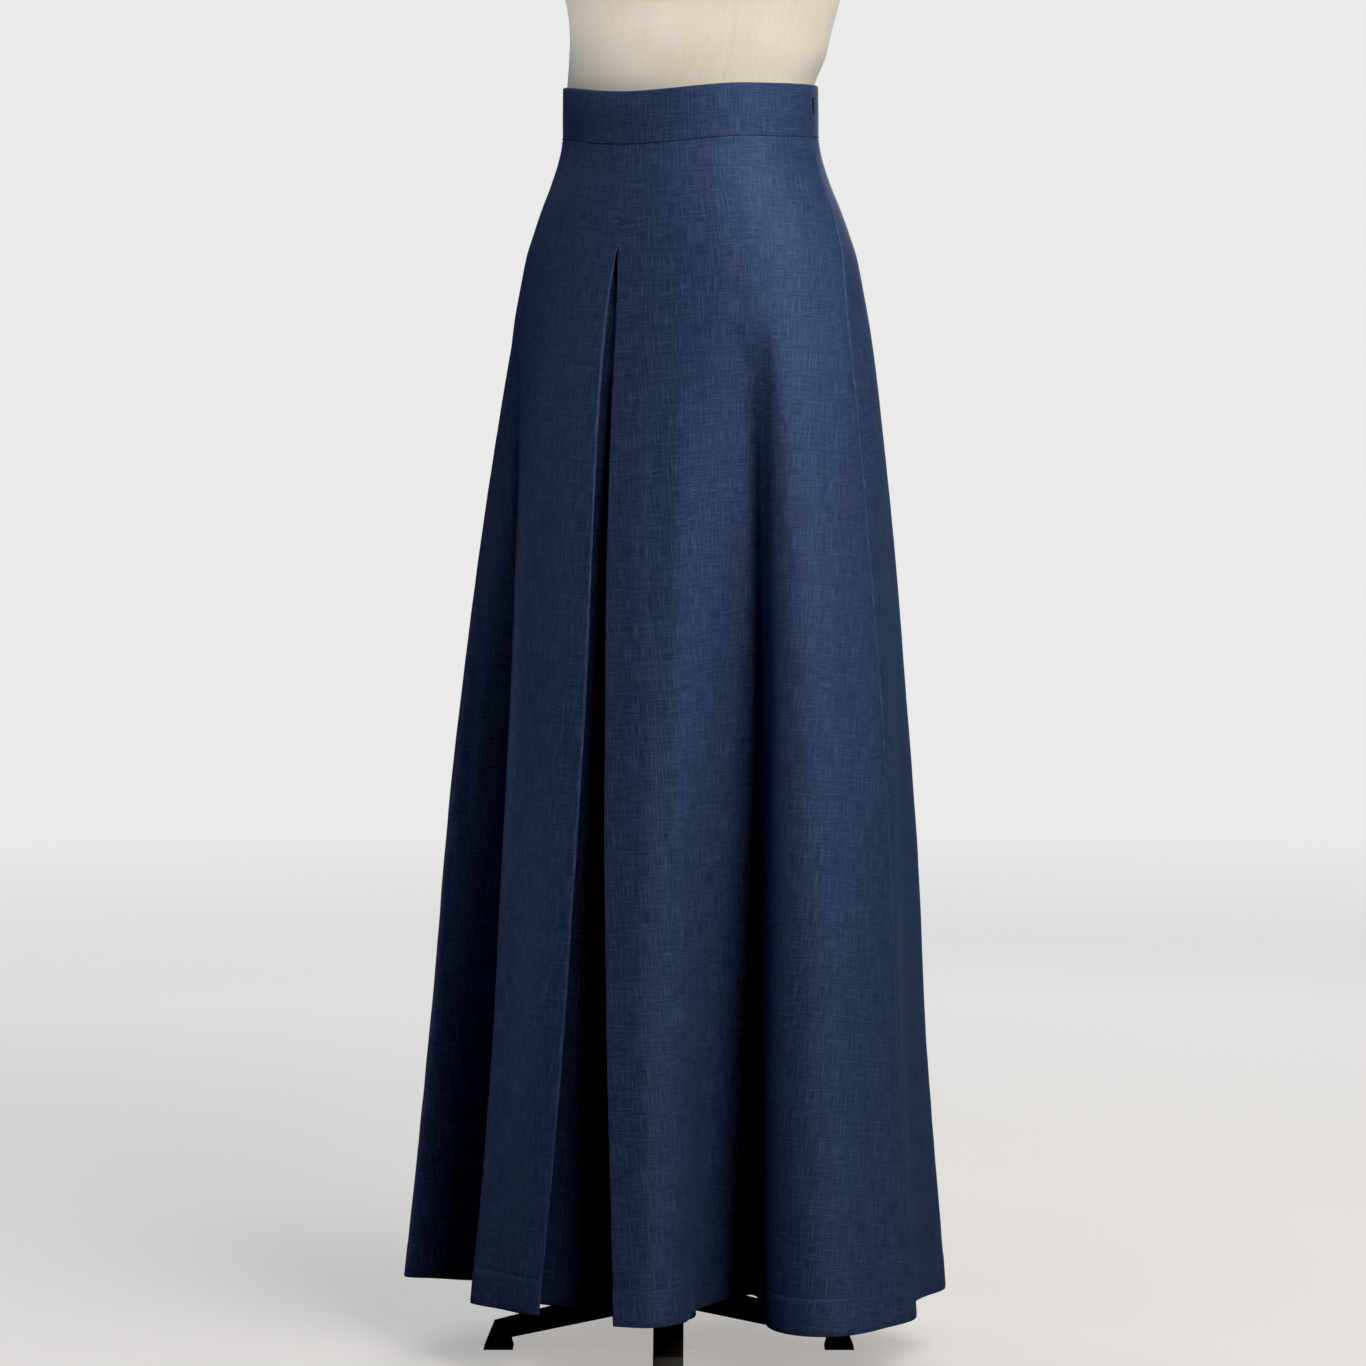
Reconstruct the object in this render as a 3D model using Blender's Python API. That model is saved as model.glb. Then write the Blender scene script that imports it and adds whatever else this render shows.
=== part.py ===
"""A floor-length flared skirt with a front box pleat and a high waistband, on a limbless dress form with a cross base.

Metres, +Z up. The front faces -Y, the wearer's left is +X, and the origin is on the floor under the middle of the skirt.
A turn is an angle in degrees round the body: 0 at the centre front, 90 at the wearer's left, 180 at the centre back.
"""

import math
from collections import namedtuple

import bmesh
import bpy
from mathutils import Matrix, Vector

# Driving sizes of the skirt
WAIST_TOP = 1.104
BAND_TALL = 0.045
BAND_WALL = 0.0025
BAND_DIP = 0.0065
BAND_DIP_REACH = 55.0
CLOTH_WALL = 0.0014
SEAM_GAP = 0.0003
MOST_STRETCH = 1.3
HEM_HEIGHT = 0.058
FOLDS_START = 0.905
FOLD_EASE = 0.05
EARLY_GROWTH = 0.5
HIP_HEIGHT = 0.89
SEAM_LEFT_TURN = 100.0
SEAM_RIGHT_TURN = 252.0

# Driving sizes of the box pleat
PLEAT_MOUTH = 0.9665
PLEAT_EDGE_RADIUS = 0.0018
PLEAT_DEEP_TURN = 25.0
UNDERLAY_GAP = 0.0005
MOUTH_OPEN_LEFT = 0.0022
MOUTH_OPEN_RIGHT = 0.0088
MOUTH_WIDEST = 0.12
INNER_GROWTH = 1.2
INNER_LEFT_HEM = (0.0680, -0.1480)
INNER_RIGHT_HEM = (-0.0520, -0.1600)

# Driving sizes of the zip's slider and pull tab
HINGE_BELOW_TOP = 0.0092
HINGE_OUT = 0.0031
SLIDER_WIDE = 0.0044
SLIDER_THICK = 0.0016
SLIDER_BELOW = 0.0015
SLIDER_ABOVE = 0.0065
CROWN_WIDE = 0.0012
CROWN_TALL = 0.0026
CROWN_PROUD = 0.0014
CROWN_HOLE_RADIUS = 0.0007
TAB_LONG = 0.0145
TAB_TOP_RADIUS = 0.0019
TAB_END_RADIUS = 0.0023
TAB_THICK = 0.0008
TAB_SLOT_HALF_WIDE = 0.00095
TAB_SLOT_FROM = 0.0004
TAB_SLOT_TO = 0.0024

# Driving sizes of the form and its stand
FORM_CLEAR = 0.0004
FORM_TOP = 1.528
POLE_X = -0.015
POLE_Y = -0.011
POLE_RADIUS = 0.0125
HUB_RADIUS = 0.024
HUB_TOP = 0.060
HUB_BOTTOM = 0.027
LEG_COUNT = 4
LEG_FIRST_TURN = 34.0
LEG_REACH = 0.163
LEG_WIDE = 0.026
LEG_TALL = 0.020
LEG_RISE = 0.024
FOOT_LONG = 0.026
FOOT_TALL = 0.011
FOOT_TAPER = 0.003
END_SLANT = 0.009
POLE_SOFT = 0.0008
HUB_SOFT = 0.002

# The skirt's plain cone, before any fold: an oval at each height
Section = namedtuple("Section", "height half_width half_depth")
SECTIONS = [
    Section(0.0580, 0.2505, 0.2040),
    Section(0.1660, 0.2402, 0.1930),
    Section(0.2990, 0.2291, 0.1810),
    Section(0.4310, 0.2208, 0.1690),
    Section(0.5630, 0.2101, 0.1555),
    Section(0.6940, 0.1968, 0.1430),
    Section(0.8250, 0.1801, 0.1280),
    Section(0.8900, 0.1700, 0.1195),
    Section(0.9550, 0.1566, 0.1115),
    Section(0.9760, 0.1490, 0.1087),
    Section(0.9980, 0.1395, 0.1058),
    Section(1.0200, 0.1288, 0.1022),
    Section(1.0400, 0.1212, 0.0983),
    Section(1.0560, 0.1179, 0.0954),
    Section(1.0800, 0.1173, 0.0949),
    Section(1.1100, 0.1168, 0.0945),
]

# The folds, in order from the pleat's left edge round the back to its right edge. Each row is a line down the
# cloth: its turn at the waist and at the hip, then where the hem lies (its turn, its distance from the middle and
# its lift off the hem's level), and how late the fold grows (1 is evenly).
Fold = namedtuple("Fold", "name waist hip hem_turn hem_out lift growth")
FOLDS = [
    Fold("pleat edge, left", 0.0, 0.0, 16.3, 0.2140, 0.0, 1.5),
    Fold("front crown", 9.5, 9.5, 24.6, 0.2139, 0.0, 1.3),
    Fold("front crown turns in", 16.0, 16.0, 29.6, 0.2010, 0.0, 1.2),
    Fold("front flank", 23.0, 23.0, 33.0, 0.1800, 0.0, 1.1),
    Fold("front flank, inner", 36.0, 34.0, 38.0, 0.1430, 0.004, 0.8),
    Fold("front valley", 47.0, 43.0, 61.0, 0.1160, 0.008, 0.7),
    Fold("side flank", 53.0, 48.5, 55.5, 0.1660, 0.004, 0.64),
    Fold("side crown, front", 59.0, 52.5, 51.4, 0.2210, 0.0, 0.85),
    Fold("side crown", 66.0, 57.5, 54.6, 0.2610, 0.0, 0.9),
    Fold("side crown, far", 76.0, 66.0, 61.8, 0.2769, 0.0, 0.95),
    Fold("side slope", 88.0, 77.0, 71.9, 0.2672, 0.0, 0.9),
    Fold("side seam, left", 100.0, 85.5, 83.0, 0.2540, 0.0, 0.6),
    Fold("behind the seam", 113.0, 104.0, 94.0, 0.2230, 0.004, 1.0),
    Fold("back crown 1", 128.0, 123.0, 119.0, 0.2250, 0.0, 1.0),
    Fold("back valley 1", 142.0, 140.0, 139.0, 0.1880, 0.006, 1.2),
    Fold("back crown 2", 158.0, 158.0, 157.0, 0.2230, 0.0, 1.1),
    Fold("back valley 2", 174.0, 174.0, 175.0, 0.1720, 0.006, 1.3),
    Fold("back crown 3", 191.0, 191.0, 194.0, 0.2120, 0.0, 1.1),
    Fold("back valley 3", 206.0, 206.0, 211.0, 0.1800, 0.006, 1.2),
    Fold("back crown 4", 221.0, 221.0, 230.0, 0.2420, 0.0, 1.1),
    Fold("back valley 4", 233.0, 236.0, 245.0, 0.2020, 0.006, 1.2),
    Fold("back crown 5", 244.0, 250.0, 263.0, 0.2570, 0.0, 1.1),
    Fold("side seam, right", 252.0, 262.0, 275.0, 0.2250, 0.004, 1.0),
    Fold("before the seam", 262.0, 269.0, 281.0, 0.2180, 0.006, 1.0),
    Fold("right crown", 282.0, 283.0, 296.7, 0.2550, 0.0, 0.64),
    Fold("right crown turns in", 291.0, 293.5, 300.0, 0.2230, 0.0, 0.66),
    Fold("right flank", 297.0, 301.0, 302.0, 0.1820, 0.0, 0.4),
    Fold("right valley", 304.0, 307.0, 309.0, 0.1300, 0.006, 0.3),
    Fold("front fold flank", 309.0, 313.0, 324.0, 0.1690, 0.0, 0.3),
    Fold("front fold edge", 314.0, 317.0, 330.4, 0.2120, 0.0, 0.31),
    Fold("front fold face", 331.0, 331.0, 342.9, 0.2054, 0.0, 1.0),
    Fold("front fold face, inner", 346.0, 346.0, 350.6, 0.2060, 0.0, 1.2),
    Fold("pleat edge, right", 360.0, 360.0, 354.8, 0.2040, 0.0, 2.3),
]
LEFT_SEAM = 11
RIGHT_SEAM = 22
LAST_FOLD = len(FOLDS) - 1

# The form inside the skirt lies this far inside the cone's outer face
Inset = namedtuple("Inset", "height inset")
FORM_INSETS = [
    Inset(0.8000, 0.0530),
    Inset(0.8040, 0.0435),
    Inset(0.8140, 0.0360),
    Inset(0.8350, 0.0280),
    Inset(0.8600, 0.0195),
    Inset(0.8800, 0.0132),
    Inset(0.9050, 0.0085),
    Inset(0.9400, 0.0070),
    Inset(1.0000, 0.0070),
    Inset(1.0400, 0.0070),
    Inset(1.0560, 0.0068),
    Inset(1.0720, BAND_WALL + FORM_CLEAR),
    Inset(1.0880, BAND_WALL + FORM_CLEAR),
]

# The form above the skirt: its oval, and how far that lies back from the middle
Torso = namedtuple("Torso", "height half_width half_depth setback")
TORSO = [
    Torso(1.1040, 0.1134, 0.0911, 0.000),
    Torso(1.1280, 0.1179, 0.0941, 0.010),
    Torso(1.1535, 0.1206, 0.0975, 0.016),
    Torso(1.1795, 0.1258, 0.1027, 0.019),
    Torso(1.2200, 0.1365, 0.1130, 0.015),
    Torso(1.2700, 0.1465, 0.1190, 0.009),
    Torso(1.3200, 0.1540, 0.1110, 0.013),
    Torso(1.3600, 0.1600, 0.0980, 0.018),
    Torso(1.3900, 0.1640, 0.0850, 0.021),
    Torso(1.4120, 0.1580, 0.0740, 0.021),
    Torso(1.4300, 0.1340, 0.0660, 0.020),
    Torso(1.4450, 0.0980, 0.0600, 0.017),
    Torso(1.4600, 0.0710, 0.0560, 0.014),
    Torso(1.4850, 0.0590, 0.0545, 0.011),
    Torso(1.5200, 0.0560, 0.0535, 0.009),
]

# How finely each thing is divided
CLOTH_RINGS = 17
COLUMNS_PER_FOLD = 3
BACK_COLUMNS_PER_FOLD = 4
EDGE_STEPS = 4
RETURN_STEPS = 5
UNDERLAY_STEPS = 12
BAND_STEP = 6.0
BAND_RINGS = 3
TAB_STEPS = 8
NECK_ANGLES = (35.0, 65.0)
TORSO_SIDES = 36
TORSO_RING_GAP = 0.033
POLE_SIDES = 20
HUB_SIDES = 28
SOFT_STEPS = 2
HOLE_SIDES = 12
RING_CROWDING = 1.5
LEAST_TURN_COSINE = 0.1
SMOOTH_UNDER = 40.0
SAME_PLACE_DIGITS = 7
LEVEL_EDGE = 0.0001

NAVY = (0.030, 0.052, 0.115, 1.0)
CREAM = (0.720, 0.640, 0.500, 1.0)
BLACK = (0.012, 0.012, 0.013, 1.0)
BLUE_METAL = (0.110, 0.160, 0.290, 1.0)
LINEN_ROUGH = 0.85
COVER_ROUGH = 0.8
ENAMEL_ROUGH = 0.4
ENAMEL_METALLIC = 0.6
METAL_ROUGH = 0.45
METAL_METALLIC = 0.8


def clear_scene():
    for found in list(bpy.data.objects):
        bpy.data.objects.remove(found, do_unlink=True)


def finish(name, color, roughness, metallic):
    """A plain Principled material."""
    material = bpy.data.materials.new(name)
    material.use_nodes = True
    shader = material.node_tree.nodes["Principled BSDF"]
    shader.inputs["Base Color"].default_value = color
    shader.inputs["Roughness"].default_value = roughness
    shader.inputs["Metallic"].default_value = metallic
    material.diffuse_color = color
    return material


def keep(shape, name, material):
    """Turns a bmesh into a named, smooth object and returns it."""
    mesh = bpy.data.meshes.new(name)
    shape.to_mesh(mesh)
    shape.free()
    mesh.materials.append(material)
    mesh.shade_smooth()
    mesh.set_sharp_from_angle(angle=math.radians(SMOOTH_UNDER))
    made = bpy.data.objects.new(name, mesh)
    bpy.context.collection.objects.link(made)
    return made


def through(knots, values, at):
    """The smooth value at one place, through the values given at rising knots."""
    last = len(knots) - 1
    first = 0
    while first < last - 1 and knots[first + 1] <= at:
        first += 1

    def slope(index):
        low = max(index - 1, 0)
        high = min(index + 1, last)
        return (values[high] - values[low]) / (knots[high] - knots[low])

    span = knots[first + 1] - knots[first]
    part = (at - knots[first]) / span
    rise = part * part * (3 - 2 * part)
    value = values[first] * (1 - rise) + values[first + 1] * rise
    value += slope(first) * (span * part * (1 - part) ** 2)
    return value - slope(first + 1) * (span * part * part * (1 - part))


def ease(share):
    """0 to 1 with level ends."""
    share = min(max(share, 0.0), 1.0)
    return share * share * (3 - 2 * share)


def on_oval(half_width, half_depth, turn):
    angle = math.radians(turn)
    return Vector((half_width * math.sin(angle), -half_depth * math.cos(angle), 0.0))


def cone(height, turn, inset=0.0):
    """A point of the plain cone at a height, moved in from its outer face."""
    knots = [section.height for section in SECTIONS]
    half_width = through(knots, [section.half_width for section in SECTIONS], height)
    half_depth = through(knots, [section.half_depth for section in SECTIONS], height)
    point = on_oval(half_width - inset, half_depth - inset, turn)
    point.z = height
    return point


def band_top(turn):
    """The band's top edge, which dips towards the centre front."""
    from_front = min(turn % 360.0, 360.0 - turn % 360.0)
    return WAIST_TOP - BAND_DIP * ease(1 - from_front / BAND_DIP_REACH)


def seam_height(turn):
    """Where the cloth ends, just under the band."""
    return band_top(turn) - BAND_TALL - SEAM_GAP


def grown(start, height, growth):
    """How much of a fold's shift at the hem a height has, from 0 at its start."""
    share = max((start - height) / (start - HEM_HEIGHT), 0.0)
    eased = share * share / (share + FOLD_EASE) * (1 + FOLD_EASE)
    return 1 - (1 - eased) ** (1 / growth) if growth < EARLY_GROWTH else eased**growth


def mouth_open(height):
    """The pleat's quick opening just under its mouth, 1 at its widest and gone again near the hem."""
    share = max((PLEAT_MOUTH - height) / (PLEAT_MOUTH - HEM_HEIGHT), 0.0) / MOUTH_WIDEST
    return share * math.exp(1 - share)


def fold_point(index, share):
    """A point on one fold line; share is 0 at the hem and 1 at the seam under the band."""
    fold = FOLDS[index]
    hem = HEM_HEIGHT + fold.lift
    height = hem + (seam_height(fold.waist) - hem) * share
    waist_share = ease((height - HIP_HEIGHT) / (WAIST_TOP - BAND_TALL - HIP_HEIGHT))
    turn = fold.hip + (fold.waist - fold.hip) * waist_share
    at_pleat = index in (0, LAST_FOLD)
    start = PLEAT_MOUTH if at_pleat else FOLDS_START
    shift = on_oval(fold.hem_out, fold.hem_out, fold.hem_turn) - cone(hem, fold.hip)
    shift.z = 0.0
    point = cone(height, turn) + shift * grown(start, height, fold.growth)
    if index == 0:
        point.x += MOUTH_OPEN_LEFT * mouth_open(height)
    if index == LAST_FOLD:
        point.x -= MOUTH_OPEN_RIGHT * mouth_open(height)
    return point


def cloth_row(share, places):
    """Points of the outer face at one level, at the given places along the fold rows."""
    lines = [fold_point(index, share) for index in range(len(FOLDS))]
    knots = list(range(len(FOLDS)))
    return [through(knots, lines, place) for place in places]


def inner_shift(side, part, height, depth):
    """How far the open pleat has moved a point of its hidden layers at one height."""
    turn = side * PLEAT_DEEP_TURN * part
    edge = FOLDS[0] if side > 0 else FOLDS[LAST_FOLD]
    outer = on_oval(edge.hem_out, edge.hem_out, edge.hem_turn)
    inner = Vector((*(INNER_LEFT_HEM if side > 0 else INNER_RIGHT_HEM), 0.0))
    shift = outer.lerp(inner, part) - cone(HEM_HEIGHT, turn, depth)
    shift.z = 0.0
    return shift * grown(PLEAT_MOUTH, height, INNER_GROWTH)


def inner_point(side, part, share, depth):
    """A point of the pleat's hidden layers. Part is 0 at the pleat's edge and 1 at the inner fold."""
    turn = side * PLEAT_DEEP_TURN * part
    height = HEM_HEIGHT + (seam_height(turn) - HEM_HEIGHT) * share
    return cone(height, turn, depth) + inner_shift(side, part, height, depth)


def pleat_row(side, share, beyond):
    """The return and the rounded edge of the pleat at one level, from the inner fold out to the panel's face."""
    lines = [fold_point(index, share) for index in range(len(FOLDS))]
    edge = lines[0] if side > 0 else lines[LAST_FOLD]
    along = beyond - edge
    along.z = 0.0
    along.normalize()
    inward = Vector((-along.y, along.x, 0.0)) * side
    start = edge + along * (PLEAT_EDGE_RADIUS + SEAM_GAP / 2)
    centre = start + inward * PLEAT_EDGE_RADIUS
    depth = PLEAT_EDGE_RADIUS * 2
    inner = inner_point(side, 1.0, share, depth)
    middle = inner_point(side, 0.5, share, depth)
    away = inner - centre
    sweep = math.atan2(away.dot(inward), -away.dot(along))
    rounded = []
    for step in range(EDGE_STEPS + 1):
        angle = sweep * step / EDGE_STEPS
        out = inward * (-math.cos(angle)) - along * math.sin(angle)
        rounded.append(centre + out * PLEAT_EDGE_RADIUS)
    steps = [step / RETURN_STEPS for step in range(1, RETURN_STEPS + 1)]
    back = [through([0.0, 0.5, 1.0], [rounded[-1], middle, inner], step) for step in steps]
    return list(reversed(back)) + list(reversed(rounded))


def levels():
    """The rings' shares of the way up the cloth, closer together near the waist."""
    return [1 - (ring / CLOTH_RINGS) ** RING_CROWDING for ring in range(CLOTH_RINGS, -1, -1)]


def moved_in(row, wall):
    """The inner face of a row whose first and last points only give the direction at the ends."""
    inner = []
    for before, point, after in zip(row, row[1:], row[2:]):
        arriving = (point - before).to_2d().normalized()
        leaving = (after - point).to_2d().normalized()
        along = (arriving + leaving).normalized()
        stretch = min(1 / max(along.dot(arriving), LEAST_TURN_COSINE), MOST_STRETCH)
        inner.append(point - Vector((along.y, -along.x, 0.0)) * (wall * stretch))
    return inner


def wall_rows(row, wall, seam_first, seam_last):
    """The outer and the inner row of a wall, drawn back by half a gap where a seam ends them."""
    inner = moved_in(row, wall)
    outer = row[1:-1]
    for wanted, end, beside in ((seam_first, 0, 1), (seam_last, -1, -2)):
        if wanted:
            back = (outer[beside] - outer[end]).normalized() * (SEAM_GAP / 2)
            outer[end] = outer[end] + back
            inner[end] = inner[end] + back
    return outer, inner


def sheet(name, walls, material):
    """A closed wall of cloth through pairs of rows, outer and inner, which run anticlockwise seen from above."""
    shape = bmesh.new()
    across = len(walls[0][0])
    bmesh.ops.create_grid(shape, x_segments=across - 1, y_segments=len(walls) - 1)
    shape.verts.ensure_lookup_table()
    index_at = {}
    for index, vertex in enumerate(shape.verts):
        vertex.co = walls[index // across][0][index % across]
        index_at[vertex.co.to_tuple(SAME_PLACE_DIGITS)] = index
    pushed = bmesh.ops.extrude_face_region(shape, geom=shape.faces[:])
    for item in pushed["geom"]:
        if isinstance(item, bmesh.types.BMVert):
            index = index_at[item.co.to_tuple(SAME_PLACE_DIGITS)]
            item.co = walls[index // across][1][index % across]
    bmesh.ops.recalc_face_normals(shape, faces=shape.faces)
    return keep(shape, name, material)


def ended(row):
    """A row with a point added straight on at each end."""
    return [row[0] * 2 - row[1]] + row + [row[-1] * 2 - row[-2]]


def make_front_left(material):
    walls = []
    count = LEFT_SEAM * COLUMNS_PER_FOLD
    places = [step / COLUMNS_PER_FOLD for step in range(1, count + 2)]
    for share in levels():
        face = cloth_row(share, places)
        row = pleat_row(1, share, face[0]) + face
        row = [row[0] * 2 - row[1]] + row
        walls.append(wall_rows(row, CLOTH_WALL, False, True))
    return sheet("front_left_panel", walls, material)


def make_front_right(material):
    walls = []
    count = (LAST_FOLD - RIGHT_SEAM) * COLUMNS_PER_FOLD
    places = [RIGHT_SEAM + step / COLUMNS_PER_FOLD for step in range(-1, count)]
    for share in levels():
        face = cloth_row(share, places)
        row = face + list(reversed(pleat_row(-1, share, face[-1])))
        row = row + [row[-1] * 2 - row[-2]]
        walls.append(wall_rows(row, CLOTH_WALL, True, False))
    return sheet("front_right_panel", walls, material)


def make_back(material):
    count = (RIGHT_SEAM - LEFT_SEAM) * BACK_COLUMNS_PER_FOLD
    places = [LEFT_SEAM + step / BACK_COLUMNS_PER_FOLD for step in range(-1, count + 2)]
    walls = [wall_rows(cloth_row(share, places), CLOTH_WALL, True, True) for share in levels()]
    return sheet("back_panel", walls, material)


def make_underlay(material):
    """The strip behind the pleat, from the right inner fold to the left one."""
    depth = PLEAT_EDGE_RADIUS * 2
    walls = []
    for share in levels():
        row = []
        for step in range(UNDERLAY_STEPS + 1):
            part = step / UNDERLAY_STEPS
            turn = PLEAT_DEEP_TURN * (part * 2 - 1)
            height = HEM_HEIGHT + (seam_height(turn) - HEM_HEIGHT) * share
            shifts = [inner_shift(side, 1.0, height, depth) for side in (-1, 1)]
            curved = cone(height, turn, depth) + shifts[0].lerp(shifts[1], part)
            ends = [cone(height, side * PLEAT_DEEP_TURN, depth) + shift for side, shift in zip((-1, 1), shifts)]
            point = curved.lerp(ends[0].lerp(ends[1], part), grown(PLEAT_MOUTH, height, INNER_GROWTH))
            point.y += UNDERLAY_GAP
            row.append(point)
        walls.append(wall_rows(ended(row), CLOTH_WALL, False, False))
    return sheet("pleat_underlay", walls, material)


def make_band(name, first_turn, last_turn, material):
    steps = round((last_turn - first_turn) / BAND_STEP)
    turns = [first_turn + (last_turn - first_turn) * step / steps for step in range(-1, steps + 2)]
    walls = []
    for ring in range(BAND_RINGS + 1):
        row = []
        for turn in turns:
            height = band_top(turn) - BAND_TALL * (1 - ring / BAND_RINGS)
            row.append(cone(height, turn))
        walls.append(wall_rows(row, BAND_WALL, True, True))
    return sheet(name, walls, material)


def zip_place():
    """The pull tab's hinge on the band: X runs along the tab's pin, Y straight out of the band and Z up."""
    turn = math.radians(SEAM_LEFT_TURN)
    at = cone(band_top(SEAM_LEFT_TURN) - HINGE_BELOW_TOP, SEAM_LEFT_TURN)
    widest = SECTIONS[-1]
    out = Vector((math.sin(turn) / widest.half_width, -math.cos(turn) / widest.half_depth, 0.0)).normalized()
    pin = out.cross(Vector((0.0, 0.0, 1.0)))
    at += out * HINGE_OUT
    place = Matrix((pin, out, Vector((0.0, 0.0, 1.0)))).transposed().to_4x4()
    place.translation = at
    return place


def block(name, low, high, material, place):
    """A box between two corners, in the frame of a place."""
    shape = bmesh.new()
    bmesh.ops.create_cube(shape, size=1.0)
    size = Vector(high) - Vector(low)
    bmesh.ops.scale(shape, vec=size, verts=shape.verts)
    bmesh.ops.translate(shape, vec=Vector(low) + size / 2, verts=shape.verts)
    made = keep(shape, name, material)
    made.matrix_world = place
    return made


def use_on(target, helper, operation):
    """Joins a helper to a piece, or cuts it away, and hides the helper."""
    helper.hide_render = True
    helper.display_type = "WIRE"
    helper.hide_set(True)
    change = target.modifiers.new(operation.lower(), "BOOLEAN")
    change.operation = operation
    change.object = helper


def make_slider(material):
    place = zip_place()
    face = SEAM_GAP - HINGE_OUT
    half = SLIDER_WIDE / 2
    slider = block("zip_slider", (-half, face, -SLIDER_BELOW), (half, face + SLIDER_THICK, SLIDER_ABOVE), material, place)
    half = CROWN_WIDE / 2
    crown = block(
        "crown_helper",
        (-half, face + SLIDER_THICK / 2, -CROWN_TALL / 2),
        (half, CROWN_PROUD, CROWN_TALL / 2),
        material,
        place,
    )
    use_on(slider, crown, "UNION")
    hole = bmesh.new()
    across = Matrix.Rotation(math.radians(90), 4, "Y")
    size = CROWN_HOLE_RADIUS
    bmesh.ops.create_cone(
        hole, cap_ends=True, segments=HOLE_SIDES, radius1=size, radius2=size, depth=SLIDER_WIDE * 2, matrix=across
    )
    cutter = keep(hole, "hole_helper", material)
    cutter.matrix_world = place
    use_on(slider, cutter, "DIFFERENCE")
    return slider


def make_pull_tab(material):
    """A teardrop plate hanging from its slotted eye, thin enough to pass through the crown."""
    place = zip_place()
    end_down = TAB_LONG - TAB_TOP_RADIUS - TAB_END_RADIUS
    top_at = TAB_SLOT_FROM - TAB_TOP_RADIUS
    outline = []
    for step in range(TAB_STEPS + 1):
        angle = math.pi * step / TAB_STEPS
        outline.append((TAB_TOP_RADIUS * math.cos(angle), top_at + TAB_TOP_RADIUS * math.sin(angle)))
    for step in range(TAB_STEPS + 1):
        angle = math.pi + math.pi * step / TAB_STEPS
        outline.append((TAB_END_RADIUS * math.cos(angle), top_at - end_down + TAB_END_RADIUS * math.sin(angle)))
    shape = bmesh.new()
    corners = [shape.verts.new((x, TAB_THICK / 2, z)) for x, z in outline]
    plate = shape.faces.new(corners)
    pushed = bmesh.ops.extrude_face_region(shape, geom=[plate])
    moved = [item for item in pushed["geom"] if isinstance(item, bmesh.types.BMVert)]
    bmesh.ops.translate(shape, vec=(0.0, -TAB_THICK, 0.0), verts=moved)
    bmesh.ops.recalc_face_normals(shape, faces=shape.faces)
    tab = keep(shape, "zip_pull_tab", material)
    tab.matrix_world = place
    half = TAB_SLOT_HALF_WIDE
    slot = block("slot_helper", (-half, -TAB_THICK, -TAB_SLOT_TO), (half, TAB_THICK, -TAB_SLOT_FROM), material, place)
    use_on(tab, slot, "DIFFERENCE")
    return tab


def make_torso(material):
    """The padded body of the form, one closed skin from its flat base to the rounded neck."""
    rings = []
    for row in FORM_INSETS:
        widths = cone(row.height, 90.0, row.inset).x, -cone(row.height, 0.0, row.inset).y
        rings.append(Torso(row.height, widths[0], widths[1], 0.0))
    rings += TORSO
    knots = [ring.height for ring in rings]
    fine = []
    for low, high in zip(rings, rings[1:]):
        fine.append(low)
        if high.height - low.height > TORSO_RING_GAP:
            middle = (low.height + high.height) / 2
            sizes = [through(knots, [ring[part] for ring in rings], middle) for part in (1, 2, 3)]
            fine.append(Torso(middle, *sizes))
    fine.append(rings[-1])
    neck = rings[-1]
    for angle in NECK_ANGLES:
        shrink = math.cos(math.radians(angle))
        rise = (FORM_TOP - neck.height) * math.sin(math.radians(angle))
        fine.append(Torso(neck.height + rise, neck.half_width * shrink, neck.half_depth * shrink, neck.setback))
    shape = bmesh.new()
    loops = []
    for ring in fine:
        points = [on_oval(ring.half_width, ring.half_depth, 360.0 * side / TORSO_SIDES) for side in range(TORSO_SIDES)]
        back = Vector((0.0, ring.setback, ring.height))
        verts = [shape.verts.new(point + back) for point in points]
        edges = [shape.edges.new((verts[side - 1], verts[side])) for side in range(TORSO_SIDES)]
        loops.append((verts, edges))
    for low, high in zip(loops, loops[1:]):
        bmesh.ops.bridge_loops(shape, edges=low[1] + high[1])
    shape.faces.new(loops[0][0])
    shape.faces.new(loops[-1][0])
    bmesh.ops.recalc_face_normals(shape, faces=shape.faces)
    return keep(shape, "form_torso", material)


def make_rod(name, radius, bottom, top, sides, bevel, material):
    """An upright round bar with softened ends on the pole's axis."""
    shape = bmesh.new()
    bmesh.ops.create_cone(shape, cap_ends=True, segments=sides, radius1=radius, radius2=radius, depth=top - bottom)
    rims = [edge for edge in shape.edges if abs(edge.verts[0].co.z - edge.verts[1].co.z) < LEVEL_EDGE]
    bmesh.ops.bevel(shape, geom=rims, offset=bevel, affect="EDGES", segments=SOFT_STEPS, profile=0.5, material=-1)
    bmesh.ops.translate(shape, vec=(POLE_X, POLE_Y, (top + bottom) / 2), verts=shape.verts)
    return keep(shape, name, material)


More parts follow.
